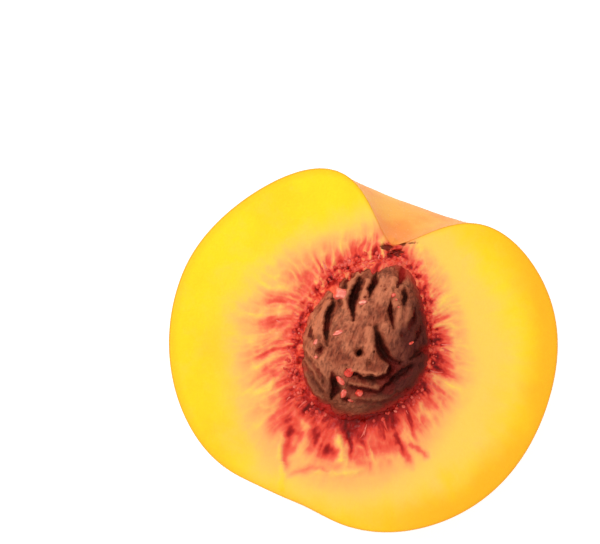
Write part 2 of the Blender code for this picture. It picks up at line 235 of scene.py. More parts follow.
# Dents of the skin: their width, and their depth in mm
DENT_WIDTH, DENT_DEPTH = 9.0 * MM, 0.10

# Hairs of the skin: how many are tried, their thickness, how far they lean and how deep they root
HAIRS, HAIR_GIRTH, HAIR_LEAN, HAIR_ROOT = 36000, 0.013 * MM, 0.45, 0.06 * MM

# Strands: how many, their lengths and widths in mm, and how far they stray from their ray in radians
RIM_SHREDS = (20, (0.9, 2.6), (0.13, 0.28), 0.25)
SCAR_FIBRES = (8, (0.4, 1.3), (0.05, 0.14), 1.2)

# How far a strand bends aside, as a share of its length
STRAND_BEND = 0.35

# Radii of the wet cells in mm, and their height as a share of their width
CELL_RADII, CELL_FLATNESS = (0.24, 0.50), 0.8

# Mesh density: quads along the axis, round the back, from rim to stone, and down the socket
SKIN_COLUMNS, SKIN_ROWS = 280, 112
SKIN_STEM_CROWDING = 0.16
FACE_RINGS, LIP_RINGS, SOCKET_RINGS = 88, 10, 8
STONE_COLUMNS, STONE_ROWS = 440, 216
STONE_TOP_CROWDING = 0.42

# The picture: where the stone's middle lies in the 600 x 544 frame, how much a pixel spans at the cut,
# and how the half is turned
PICTURE_WIDTH, PICTURE_HEIGHT = 600, 544
STONE_ACROSS, STONE_DOWN = 366.3, 345.6
PIXEL = 0.1904 * MM
VIEW_AZIMUTH = math.radians(21.0)
VIEW_ELEVATION = math.radians(84.5)
SENSOR_WIDTH = 36.0 * MM
FLOOR_HALF, FLOOR_DROP = 1.5, 0.02 * MM

# Lights, in m: places from the cut's middle to the picture's right, up and to the camera, and sizes
LIGHTS = (
    ("key", (-0.34, 0.26, 0.40), 0.28),
    ("fill", (0.40, -0.25, 0.50), 0.60),
    ("glint", (-0.10, 0.14, 0.40), 0.035),
)


def number_setting(name, description, default, unit="NONE"):
    """Return a number that the panel shows."""
    return bpy.props.FloatProperty(name=name, description=description, default=default, unit=unit)


def length_setting(name, description, default):
    """Return a length that the panel shows, from its default in mm."""
    return number_setting(name, description, default * MM, "LENGTH")


def colour_setting(name, description, default):
    """Return a colour that the panel shows."""
    return bpy.props.FloatVectorProperty(
        name=name, description=description, default=default, subtype="COLOR", size=3)


class PeachSizes(bpy.types.PropertyGroup):
    """Sizes of the fruit and its stone."""

    cheek_radius: length_setting("Cheek radius", "Half the width across the cheeks", 37.05)
    back_radius: length_setting("Back radius", "Depth of the round back before it is flattened", 36.0)
    stem_end: length_setting("Stem end", "From the widest place to the shoulders", 35.4)
    tip_end: length_setting("Tip end", "From the widest place to the tip", 35.95)
    cavity_depth: length_setting("Cavity depth", "Depth of the dip that the stalk grew in", 15.4)
    cavity_radius: length_setting(
        "Cavity radius", "Half the width of the stem cavity at about a third of its depth", 10.5)
    stone_half_width: length_setting("Stone half-width", "Half the stone's width across its seam", 12.6)
    stone_rise: length_setting("Stone rise", "How far the stone stands out of the cut", 9.46)
    fuzz_length: length_setting("Fuzz length", "Length of the hairs on the skin", 0.42)


class PeachColours(bpy.types.PropertyGroup):
    """Colours of the flesh, skin and stone."""

    flesh: colour_setting("Flesh", "Yellow of the cut flesh", (0.965, 0.715, 0.010))
    flesh_gold: colour_setting(
        "Flesh near the skin", "Deeper gold of the outer flesh", (0.940, 0.450, 0.012))
    flesh_cream: colour_setting(
        "Flesh near the red", "Paler yellow round the torn rim", (0.965, 0.600, 0.105))
    salmon: colour_setting("Salmon", "Edge of the red", (0.925, 0.285, 0.105))
    red: colour_setting("Red", "Red of the torn rim", (0.790, 0.062, 0.034))
    crimson: colour_setting("Crimson", "Deepest red, at the stone", (0.480, 0.018, 0.013))
    pink: colour_setting("Pink", "Loose pulp", (0.900, 0.210, 0.150))
    pale_pink: colour_setting("Pale pink", "Palest loose pulp", (0.950, 0.480, 0.340))
    skin: colour_setting("Skin", "Ground colour of the skin", (0.930, 0.320, 0.032))
    skin_light: colour_setting("Light skin", "Paler yellow of the skin", (0.950, 0.440, 0.055))
    blush: colour_setting("Blush", "Orange red of the sunny side", (0.760, 0.190, 0.045))
    # Pale stone: random paler patches, and the painted highlight on ridges and ledge edges
    stone_pale_and_highlight: colour_setting("Light stone", "Worn ridges of the stone", (0.640, 0.195, 0.095))
    stone_mid: colour_setting("Stone", "Brown of the stone", (0.300, 0.060, 0.027))
    # Dark stone: dark grain, and in the furrows partly their own dark and partly painted shade
    stone_dark: colour_setting("Dark stone", "Furrows of the stone", (0.035, 0.005, 0.003))


class PeachStage(bpy.types.PropertyGroup):
    """Floor, lights and lens."""

    floor_colour: colour_setting("Floor", "Colour of the floor", (0.80, 0.80, 0.80))
    floor_glow: number_setting("Floor glow", "Light of the lit-up floor", 0.50)
    lens: number_setting("Lens", "Focal length in mm", 100.0)
    key_power: number_setting("Key light", "Power of the key light", 1.25, "POWER")
    fill_power: number_setting("Fill light", "Power of the fill light", 0.35, "POWER")
    glint_power: number_setting("Glint light", "Power of the lamp that wet flesh glints in", 0.10, "POWER")
    sky_strength: number_setting("Sky", "Strength of the even light from all round", 0.77)


# Numbers over arrays


def blend(value, low, high):
    """Go smoothly from 0 at low to 1 at high."""
    share = np.clip((value - low) / (high - low), 0.0, 1.0)
    return share * share * (3.0 - 2.0 * share)


def fade_ends(along, first, last):
    """Return 1 between two shares of the way along a line, and fall smoothly to 0 at its ends."""
    return blend(along, 0.0, first) * (1.0 - blend(along, last, 1.0))


def turn_from(degrees, place):
    """Return the turn from a place to each angle, in degrees from -180 to 180."""
    return (degrees - place + 180.0) % 360.0 - 180.0


def even_turns(count):
    """Return angles that part a full turn evenly."""
    return np.linspace(0.0, 2.0 * math.pi, count, endpoint=False)


def scaled_to_one(vectors):
    """Return vectors of length 1 that look the same way."""
    return vectors / np.linalg.norm(vectors, axis=-1, keepdims=True)


def lattice_value(ix, iy, iz, seed):
    """Return a fixed random number from -1 to 1 for each corner of a lattice, from its mixed bits."""
    mask = 0xFFFFFFFF
    bits = (ix * 374761393 + iy * 668265263 + iz * 1440662683 + seed * 974634777) & mask
    bits = ((bits ^ (bits >> 13)) * 1274126177) & mask
    bits = ((bits ^ (bits >> 16)) * 2246822519) & mask
    return (bits ^ (bits >> 15)) / (mask / 2.0) - 1.0


def noise(x, y, z, seed):
    """Return smooth noise from -1 to 1: lattice values, blended between the eight nearest corners."""
    x, y, z = np.broadcast_arrays(x, y, z)
    low = [np.floor(axis).astype(np.int64) for axis in (x, y, z)]
    part = [axis - whole for axis, whole in zip((x, y, z), low)]
    ease = [t * t * t * (t * (6.0 * t - 15.0) + 10.0) for t in part]
    total = np.zeros(x.shape)
    for dx in (0, 1):
        for dy in (0, 1):
            for dz in (0, 1):
                weight = (
                    (ease[0] if dx else 1.0 - ease[0])
                    * (ease[1] if dy else 1.0 - ease[1])
                    * (ease[2] if dz else 1.0 - ease[2])
                )
                total = total + weight * lattice_value(low[0] + dx, low[1] + dy, low[2] + dz, seed)
    return total


def fractal(x, y, z, seed, octaves=3):
    """Return noise summed over octaves, each twice as fine and half as strong."""
    total, strength, scale = 0.0, 1.0, 1.0
    for octave in range(octaves):
        total = total + strength * noise(x * scale, y * scale, z * scale, seed + octave)
        strength, scale = strength * 0.5, scale * 2.0
    return total


def ridged(x, y, z, seed, octaves=3):
    """Return sharp-crested noise from 0 to 1: one less the size of smooth noise."""
    total, strength, scale = 0.0, 0.6, 1.0
    for octave in range(octaves):
        crest = 1.0 - np.abs(noise(x * scale, y * scale, z * scale, seed + octave))
        total = total + strength * crest * crest
        strength, scale = strength * 0.45, scale * 2.1
    return np.clip(total, 0.0, 1.0)


def wander(x, y, broad, fine, seed):
    """Return places moved by broad and by fine noise, each given as its size and its waves a mm."""
    (broad_size, broad_rate), (fine_size, fine_rate) = broad, fine
    return [
        axis
        + broad_size * noise(x * broad_rate, y * broad_rate, 0.0, first)
        + fine_size * noise(x * fine_rate, y * fine_rate, 0.0, first + 1)
        for axis, first in ((x, seed), (y, seed + 2))
    ]


def smooth_line(points, steps=6):
    """Return points along a smooth curve (Catmull-Rom) through the given ones."""
    knots = np.array(points)
    before = np.vstack([2.0 * knots[0] - knots[1], knots[:-1]])
    after = np.vstack([knots[1:], 2.0 * knots[-1] - knots[-2]])
    slopes = (after - before) / 2.0
    t = np.linspace(0.0, 1.0, steps, endpoint=False)[:, None]
    spans = [
        (2.0 * t**3 - 3.0 * t**2 + 1.0) * knots[i]
        + (t**3 - 2.0 * t**2 + t) * slopes[i]
        + (3.0 * t**2 - 2.0 * t**3) * knots[i + 1]
        + (t**3 - t**2) * slopes[i + 1]
        for i in range(len(knots) - 1)
    ]
    return np.vstack(spans + [knots[-1:]])


def line_distance(x, y, line):
    """Return each point's distance from a line, its share along it, and its side (+1 on the right)."""
    start, span = line[:-1], np.diff(line, axis=0)
    to_x = x[..., None] - start[:, 0]
    to_y = y[..., None] - start[:, 1]
    share = np.clip((to_x * span[:, 0] + to_y * span[:, 1]) / (span**2).sum(axis=1), 0.0, 1.0)
    off_x = to_x - share * span[:, 0]
    off_y = to_y - share * span[:, 1]
    gaps = np.hypot(off_x, off_y)
    nearest = gaps.argmin(axis=-1)
    picked = [
        np.take_along_axis(values, nearest[..., None], axis=-1)[..., 0]
        for values in (gaps, share, off_x, off_y)
    ]
    gap, share, off_x, off_y = picked
    cross = span[nearest, 0] * off_y - span[nearest, 1] * off_x
    return gap, (nearest + share) / len(span), np.where(cross < 0.0, 1.0, -1.0)


# Meshes


def grid_faces(first, rows, columns, closed):
    """Return the quads between rows of points, each row joined into a ring where closed."""
    row = np.arange(rows - 1)[:, None] * columns
    column = np.arange(columns if closed else columns - 1)[None, :]
    after = (column + 1) % columns
    corners = (row + column, row + after, row + columns + after, row + columns + column)
    return first + np.stack(corners, axis=-1).reshape(-1, 4)


def fan_faces(ring, pole):
    """Return the triangles from a closed ring of point numbers to a pole."""
    ring = np.asarray(ring)
    return np.stack([ring, np.roll(ring, -1), np.full(len(ring), pole)], axis=-1)


def repeat_faces(face_sets, copies, points_each):
    """Return sets of faces for copies of a form whose points follow each other."""
    first = np.arange(copies)[:, None, None] * points_each
    return [(first + faces[None]).reshape(-1, faces.shape[1]) for faces in face_sets]


def ball_mesh(rings, sides):
    """Return the points, quads and triangles of a ball of radius 1 with its poles on Z."""
    u = np.linspace(0.0, math.pi, rings + 1)[1:-1, None]
    turn = even_turns(sides)[None, :]
    ball = (np.sin(u) * np.cos(turn), np.sin(u) * np.sin(turn), np.cos(u) * np.ones_like(turn))
    points = np.vstack([np.stack(ball, axis=-1).reshape(-1, 3), [[0.0, 0.0, 1.0], [0.0, 0.0, -1.0]]])
    ring = np.arange(sides)
    top_cap = fan_faces(ring, len(points) - 2)
    low_cap = fan_faces((rings - 2) * sides + ring, len(points) - 1)[:, ::-1]
    return points, grid_faces(0, rings - 1, sides, True)[:, ::-1], np.vstack([top_cap, low_cap])


def add_piece(name, points, face_sets, values, materials, face_slots=None):
    """Add a mesh object from points, sets of faces, and named values at its points."""
    mesh = bpy.data.meshes.new(name)
    loops = np.concatenate([faces.ravel() for faces in face_sets]).astype(np.int32)
    sizes = np.concatenate([np.full(len(faces), faces.shape[1]) for faces in face_sets])
    starts = np.concatenate([[0], np.cumsum(sizes)[:-1]]).astype(np.int32)
    mesh.vertices.add(len(points))
    mesh.vertices.foreach_set("co", np.asarray(points, dtype=np.float32).ravel())
    mesh.loops.add(len(loops))
    mesh.loops.foreach_set("vertex_index", loops)
    mesh.polygons.add(len(sizes))
    mesh.polygons.foreach_set("loop_start", starts)
    for material in materials:
        mesh.materials.append(material)
    if face_slots is not None:
        mesh.polygons.foreach_set("material_index", np.asarray(face_slots, dtype=np.int32))
    for key, value in values.items():
        value = np.asarray(value, dtype=np.float32)
        kind, field = ("FLOAT", "value") if value.ndim == 1 else ("FLOAT_VECTOR", "vector")
        mesh.attributes.new(key, kind, "POINT").data.foreach_set(field, value.ravel())
    mesh.update(calc_edges=True)
    mesh.validate()
    mesh.shade_smooth()
    piece = bpy.data.objects.new(name, mesh)
    bpy.context.scene.collection.objects.link(piece)
    return piece


# Forms


def fruit_surface(sizes, u, v):
    """Return the skin at angle u from the stem end and v round the axis, 0 at the right cheek.

    The fruit is a spheroid with unlike ends. A bell-shaped dip at the stem end is the cavity, a wide
    shallow one is at the tip, and a crease runs down the left side.
    """
    right, up = np.cos(v), -np.sin(v)
    around, along = np.sin(u), np.cos(u)
    stem_side = along > 0.0
    lopsided = np.where(stem_side, RIGHT_SHOULDER_LEAN * right, RIGHT_TIP_FULLNESS * (1.0 + right))
    width = around * (1.0 + lopsided * np.sin(2.0 * u) ** 2)
    crease_arc = sizes.cheek_radius * around * (np.arctan2(-up, -right) - SUTURE_ANGLE)
    crease = SUTURE_DEPTH * np.exp(-(crease_arc / SUTURE_WIDTH) ** 2) * around
    inset = crease + FUZZ_ROOM
    stem_end = sizes.stem_end + BACK_SHOULDER_RISE * np.clip(-up, 0.0, 1.0)
    tip_end = sizes.tip_end + TIP_LEAN * right * blend(around, 0.0, TIP_LEAN_SPREAD)
    end = np.where(stem_side, stem_end, tip_end) - FUZZ_ROOM
    distance = sizes.cheek_radius * width
    dip = np.exp(-(distance / sizes.cavity_radius) ** CAVITY_STEEPNESS)
    cavity = sizes.cavity_depth * dip * stem_side
    tip = TIP_HOLLOW * np.exp(-(distance / TIP_HOLLOW_RADIUS) ** 2) * ~stem_side
    x = EQUATOR_X + (CAVITY_X - EQUATOR_X) * along**2 + (sizes.cheek_radius - inset) * width * right
    y = EQUATOR_Y + end * along - cavity + tip
    z = CUT_HEIGHT + (sizes.back_radius - inset) * width * up
    return x, y, z


def stone_body(sizes, x, y, z, grow=0.0):
    """Send a unit sphere with its poles on Y to the smooth stone, larger by grow on every side.

    Its outline is a superellipse: pointed at the stem end, blunt and slanted at the tip end, fuller
    on the left.
    """
    u = np.arccos(np.clip(y, -1.0, 1.0))
    reach = np.hypot(x, z)
    reach = np.where(reach == 0.0, 1.0, reach)
    right, up = x / reach, z / reach
    around, along = np.sin(u), np.cos(u)
    stem_share = blend(along, -0.3, 0.5)
    stem_fullness = STONE_STEM_FULLNESS - STONE_LEFT_FULLNESS * right
    fullness = STONE_BASE_FULLNESS + (stem_fullness - STONE_BASE_FULLNESS) * stem_share
    width = around ** (2.0 / fullness)
    length = np.sign(along) * np.abs(along) ** (2.0 / fullness)
    end = np.where(along > 0.0, STONE_STEM_END, STONE_TIP_END) + grow
    height = np.where(up > 0.0, sizes.stone_rise, STONE_SINK) + grow
    plan_x = (sizes.stone_half_width + grow) * width * right
    plan_x = plan_x + STONE_APEX_SHIFT * np.clip(length, 0.0, 1.0) ** 2
    plan_y = end * length + STONE_BASE_LEAN * (plan_x - STONE_LEAN_PIVOT) * blend(-along, 0.0, 1.0)
    return plan_x, plan_y, height * width * up


def shell_relief(x, y):
    """Return how far the shell's skin is sunk and how deep its hollows are, in mm, at plan x and y in mm.

    The skin lies a little below the smooth body, less on a ridge and above a ledge. A furrow is a
    trough along its line that fades at its ends, a pit is a round one, and a ledge drops at its line
    and climbs back over its reach. The lines wander by noise.
    """
    wander_x, wander_y = wander(x, y, (0.26, 0.8), (0.11, 2.3), 11)
    rise = np.zeros_like(x)
    for points, half_width, high in RIDGES:
        gap, along, _ = line_distance(wander_x, wander_y, smooth_line(points))
        rise = np.maximum(rise, high * fade_ends(along, 0.2, 0.7) * np.exp(-(gap / half_width) ** 2))
    depth = np.zeros_like(x)
    for points, half_width, deep in FURROWS:
        gap, along, _ = line_distance(wander_x, wander_y, smooth_line(points))
        taper = 0.45 + 0.55 * fade_ends(along, 0.3, 0.6)
        cut = 0.78 * np.exp(-(gap / (half_width * taper)) ** 2)
        slope = 0.22 * np.exp(-(gap / (2.6 * half_width)) ** 2)
        depth = np.maximum(depth, deep * taper * (cut + slope))
    for (pit_x, pit_y), radius, deep in PITS:
        gap = np.hypot(wander_x - pit_x, wander_y - pit_y)
        depth = np.maximum(depth, deep * np.exp(-(gap / radius) ** 2))
    for points, drop, reach in LEDGES:
        gap, along, side = line_distance(wander_x, wander_y, smooth_line(points))
        below = np.clip(side * gap, 0.0, None)
        fade = fade_ends(along, 0.12, 0.88)
        depth = depth + drop * fade * blend(below, 0.0, LEDGE_EDGE) * np.exp(-below / reach)
        rise = np.maximum(rise, 0.4 * fade * np.exp(-(gap / 0.45) ** 2) * (side < 0.0))
    return SHELL_SKIN - rise, depth


def stone_surface(sizes, x, y, z):
    """Send a unit sphere to the stone's surface, in mm from its centre.

    The smooth body is first taken in along its normal by lumps, long grain and grit, and its upper
    side is then sunk straight down by the shell's relief, by at most three quarters of its height
    above the cut, or 0.05 mm where that is more. Returns the points, their normals, how deep each
    lies in a furrow, and how near it is to a crest, where the colour gets a painted highlight.
    """
    body = stone_body(sizes, x, y, z)
    x, y, z = (axis / MM for axis in body)
    top = blend(z, -0.5, 2.4)
    long_grain = ridged(x * 0.55, y * 0.13, z * 0.55, 81)
    lumps = fractal(x * 0.30, y * 0.22, z * 0.30, 85)
    cuts = ridged(x * 1.4, y * 0.5, z * 1.4, 88)
    grit = fractal(x * 2.2, y * 1.4, z * 2.2, 91)
    rough_side = blend(x, 3.0, 9.0) * top
    knobs = np.clip(fractal(x * 0.9, y * 0.9, z * 0.9, 95), 0.0, 1.0)
    shell, furrow = shell_relief(x, y)
    side_furrows = 1.1 * blend(long_grain, 0.62, 0.95) * (1.0 - 0.8 * top)
    depth = 0.18 + 0.22 * lumps + 0.30 * (1.0 - cuts) + 0.07 * grit + side_furrows
    depth = depth + 0.55 * rough_side * knobs
    depth = np.maximum(depth, 0.0) * np.clip(1.2 * np.hypot(x, z) / 4.0, 0.0, 1.0)
    scale = np.array([sizes.stone_half_width, STONE_STEM_END, sizes.stone_rise]) / MM
    normal = scaled_to_one(np.stack([x, y, z], axis=-1) / scale**2)
    points = np.stack([x, y, z], axis=-1) - depth[..., None] * normal
    sunk = (shell + furrow) * top
    room = np.clip(0.75 * z, 0.05, None)
    points[..., 2] -= sunk / (1.0 + (sunk / room) ** 4) ** 0.25
    hollow = furrow * top + side_furrows + 0.5 * rough_side * knobs
    # How near a crest or ledge edge: the colour is painted paler there, a painted highlight
    crest = np.clip(1.0 - (shell / SHELL_SKIN) * (0.4 + depth), 0.0, 1.0) * top
    return points, normal, hollow, crest


def stone_outline(sizes, angle):
    """Return the sphere angle whose place on the stone's outline lies at each plan angle."""
    turn = np.linspace(-math.pi, math.pi, 1441)
    plan_x, plan_y, _ = stone_body(sizes, np.cos(turn), np.sin(turn), np.zeros_like(turn))
    plan_angle = np.unwrap(np.arctan2(plan_y, plan_x))
    lap = 2.0 * math.pi
    whole = np.concatenate([plan_angle - lap, plan_angle, plan_angle + lap])
    turns = np.concatenate([turn - lap, turn, turn + lap])
    return np.interp(angle, whole, turns)


def red_reach(angle):
    """Return how far the red reaches from the stone at each plan angle, in mm, smoothed round the ring."""
    degrees = np.degrees(angle) % 360.0
    spots = np.linspace(-2.0 * REACH_BLUR, 2.0 * REACH_BLUR, 17)
    weights = np.exp(-(spots / REACH_BLUR) ** 2)
    total = sum(
        weight * np.interp(degrees + spot, RED_ANGLES, RED_REACHES, period=360.0)
        for spot, weight in zip(spots, weights)
    )
    return total / weights.sum()


def face_rings(count):
    """Return shares from the rim (0) to the stone (1), close together at both ends."""
    fine = np.linspace(0.0, 1.0, 2001)
    density = 0.55 + 3.0 * np.exp(-fine / 0.012)
    density = density + 1.4 * blend(fine, 0.25, 0.75) + 1.5 * blend(fine, 0.9, 1.0)
    total = np.concatenate([[0.0], np.cumsum((density[1:] + density[:-1]) / 2.0)])
    return np.interp(np.linspace(0.0, 1.0, count + 1), total / total[-1], fine)


def fibre_ray(angle, x, y):
    """Return the way the fibres run at plan x and y in mm: out from the stone, leaning by noise."""
    lean = 0.09 * noise(x * 0.09, y * 0.09, 0.0, 21) + 0.018 * noise(x * 0.45, y * 0.45, 0.0, 22)
    return np.cos(angle + lean), np.sin(angle + lean)


def torn_relief(angle, gap, rim_gap, x, y):
    """Return the height of the cut face, in mm, how torn it is, and how high its fibres stand.

    angle and gap say where a point lies round the stone, gap and rim_gap in mm. Fibres are
    sharp-crested noise drawn out along rays from the stone, strongest beside it; the rest of the face
    has only the slight wave that a knife leaves, and its outer edge is rounded off.
    """
    ray_x, ray_y = fibre_ray(angle, x, y)
    fibres = ridged(ray_x * 7.5, ray_y * 7.5, gap * 0.15, 31)
    fine = ridged(ray_x * 16.0, ray_y * 16.0, gap * 0.30, 37)
    lumps = fractal(x * 0.55, y * 0.55, 0.0, 41)
    torn = np.exp(-(gap / (1.6 + 0.62 * red_reach(angle))) ** 2)
    folds = 0.85 * (fibres - 0.55) + 0.32 * (fine - 0.55)
    height = torn * (folds + 0.26 * lumps)
    collar = 0.6 + 0.6 * noise(ray_x * 6.0, ray_y * 6.0, 0.0, 43)
    height = height + 0.40 * np.exp(-(gap / 1.5) ** 2) * collar
    height = height + 0.05 * fractal(x * 0.12, y * 0.12, 0.0, 45) * blend(rim_gap, 0.0, 4.0)
    height = height + torn_folds(x, y)[0]
    height = height - 0.22 * np.exp(-rim_gap / 0.30) - scar_share(x, y)[1]
    return height, torn, 0.62 * fibres + 0.38 * fine


def paleness(angle, gap, x, y, fold):
    """Return how far the flesh has gone from the deepest red (0) to yellow (1).

    It rises with the distance from the stone by one less an exponential, from a start that is lowest
    below the stone. Valleys between the fibres lag behind, redder and darker as painted shade, and
    crests run ahead, paler as painted highlight; whole tongues of flesh lag or run ahead too, in the
    flesh's own colour. The folds below the stone are paler where they rise and redder where they sink
    than the flesh beside them: partly the flesh's own streaks, partly painted light and shade.
    """
    reach = red_reach(angle)
    off = turn_from(np.degrees(angle), DEEP_ANGLE)
    start = EDGE_RED - DEEP_RED * np.exp(-(off / DEEP_WIDTH) ** 2)
    run = (gap / reach) ** REACH_POWER
    pale = start + (1.0 - start) * (1.0 - np.exp(-run))
    ray_x, ray_y = fibre_ray(angle, x, y)
    tongues = 0.4 * noise(ray_x * 5.0, ray_y * 5.0, gap * 0.05, 111)
    tongues = tongues + noise(ray_x * 13.0, ray_y * 13.0, gap * 0.08, 112)
    threads = noise(ray_x * 32.0, ray_y * 32.0, gap * 0.2, 113)
    clouds = fractal(x * 0.40, y * 0.40, 0.0, 114, 2)
    calm = 1.0 - blend(gap, 0.6 * reach, 1.7 * reach)
    mottle = calm * (blend(gap, 0.0, 1.0) * (0.10 * tongues + 0.075 * threads) + 0.045 * clouds)
    lumps = (0.24 * fractal(x * 1.1, y * 1.1, 0.0, 118) - 0.02) * np.exp(-(gap / 2.0) ** 2)
    # Painted shade and highlight: fibre valleys stay redder and darker, crests paler; the lumps are the
    # flesh's own colour
    fibre_shading_and_lumps = 0.66 * calm * (fold - 0.52) * blend(gap, -0.5, 1.0) + lumps * blend(start, 0.0, EDGE_RED)
    strength = 4.4 * np.clip(pale, 0.12, 1.0) * (1.02 - np.clip(pale, 0.0, 1.0))
    change = mottle + fibre_shading_and_lumps
    pale = pale + strength * np.where(change > 0.0, 0.85, 1.05) * change
    return np.clip(pale, 0.0, 1.0) + torn_folds(x, y)[1]


def torn_folds(x, y):
    """Return how high the folds stand, in mm, and how much paler they are, at plan x and y in mm.

    Each fold is a bell across its line, which fades at both ends and wanders by noise. Its paleness
    follows its rise, partly the flesh's own streaks and partly painted light and shade.
    """
    wander_x, wander_y = wander(x, y, (0.30, 0.9), (0.12, 2.6), 23)
    height, change = np.zeros_like(x), np.zeros_like(x)
    for points, half_width, rise, paler in FOLDS:
        gap, along, _ = line_distance(wander_x, wander_y, smooth_line(points))
        bell = fade_ends(along, 0.2, 0.75) * np.exp(-(gap / half_width) ** 2)
        height = height + rise * bell
        change = change + paler * bell
    return height, change


def lip_reach(angle):
    """Return how far up the stone the flesh clings at each plan angle, uneven by noise."""
    degrees = np.degrees(angle)
    ray_x, ray_y = np.cos(angle), np.sin(angle)
    ragged = 0.55 * noise(ray_x * 5.0, ray_y * 5.0, 0.0, 62)
    ragged = ragged + 0.55 * noise(ray_x * 15.0, ray_y * 15.0, 0.0, 63)
    reach = LIP_REACH * np.ones_like(angle)
    for place, width, climb in LIPS:
        reach = reach + climb * np.exp(-(turn_from(degrees, place) / width) ** 2)
    return np.maximum(reach * (1.0 + ragged), 0.03)


# Shader nodes


class Value:
    """A number that varies over a surface, for use in sums: each sum adds its Math nodes."""

    def __init__(self, surface, socket):
        self.surface = surface
        self.socket = socket

    def maths(self, operation, *operands):
        return self.surface.node("ShaderNodeMath", {"operation": operation}, dict(enumerate(operands)))

    def __add__(self, other):
        return self.maths("ADD", self, other)

    def __radd__(self, other):
        return self.maths("ADD", other, self)

    def __sub__(self, other):
        return self.maths("SUBTRACT", self, other)

    def __mul__(self, other):
        return self.maths("MULTIPLY", self, other)

    def __rmul__(self, other):
        return self.maths("MULTIPLY", other, self)

    def greater(self, other):
        return self.maths("MAXIMUM", self, other)

    def ramp(self, low, high):
        """Go smoothly from 0 at low to 1 at high."""
        settings = {"interpolation_type": "SMOOTHSTEP", "clamp": True}
        links = {"Value": self, "From Min": low, "From Max": high, "To Min": 0.0, "To Max": 1.0}
        return self.surface.node("ShaderNodeMapRange", settings, links)


class Surface:
    """A material and its nodes."""

    def __init__(self, name):
        self.material = bpy.data.materials.new(name)
        self.material.use_nodes = True
        self.tree = self.material.node_tree
        self.tree.nodes.clear()

    def node(self, kind, settings=None, links=None, output=0):
        """Add a node with its settings, a ramp's stops among them, and its sockets' values or links."""
        node = self.tree.nodes.new(kind)
        for key, setting in (settings or {}).items():
            if key == "stops":
                self.set_stops(node.color_ramp, setting)
            else:
                setattr(node, key, setting)
        for key, value in (links or {}).items():
            socket = node.inputs[key]
            if isinstance(value, Value):
                self.tree.links.new(value.socket, socket)
            else:
                socket.default_value = value
        return Value(self, node.outputs[output])

    @staticmethod
    def set_stops(ramp, stops):
        """Give a colour ramp its stops, each a place and a colour."""
        while len(ramp.elements) < len(stops):
            ramp.elements.new(1.0)
        for element, (place, colour) in zip(ramp.elements, stops):
            element.position = place
            element.color = (*colour, 1.0)

    def attribute(self, name, output="Fac"):
        return self.node("ShaderNodeAttribute", {"attribute_name": name}, output=output)

    def place(self):
        return self.node("ShaderNodeTexCoord", output="Object")

    def noise(self, vector, scale, detail=3.0, roughness=0.5):
        links = {"Vector": vector, "Scale": scale, "Detail": detail, "Roughness": roughness}
        return self.node("ShaderNodeTexNoise", None, links)

    def cells(self, vector, scale):
        return self.node("ShaderNodeTexVoronoi", None, {"Vector": vector, "Scale": scale}, "Distance")

    def stretch(self, vector, scale):
        return self.node("ShaderNodeMapping", None, {"Vector": vector, "Scale": scale})

    def split(self, vector, axis):
        return self.node("ShaderNodeSeparateXYZ", None, {0: vector}, axis)

    def distance(self, vector, place):
        return self.node("ShaderNodeVectorMath", {"operation": "DISTANCE"}, {0: vector, 1: place}, "Value")

    def mix(self, share, first, second):
        """Mix two colours by a share from 0 to 1."""
        links = {0: share, 6: as_colour(first), 7: as_colour(second)}
        return self.node("ShaderNodeMix", {"data_type": "RGBA"}, links, 2)

    def colours(self, value, stops):
        return self.node("ShaderNodeValToRGB", {"stops": stops}, {0: value}, "Color")

    def bump(self, height, distance, strength):
        links = {"Strength": strength, "Distance": distance, "Height": height}
        return self.node("ShaderNodeBump", None, links, "Normal")

    def finish(self, links):
        """Add the Principled shader and the output, and return the material."""
        shader = self.node("ShaderNodeBsdfPrincipled", None, links, "BSDF")
        output = self.tree.nodes.new("ShaderNodeOutputMaterial")
        self.tree.links.new(shader.socket, output.inputs["Surface"])
        return self.material


def as_colour(value):
    """Give a plain colour its alpha."""
    if isinstance(value, Value):
        return value
    return (*value, 1.0)


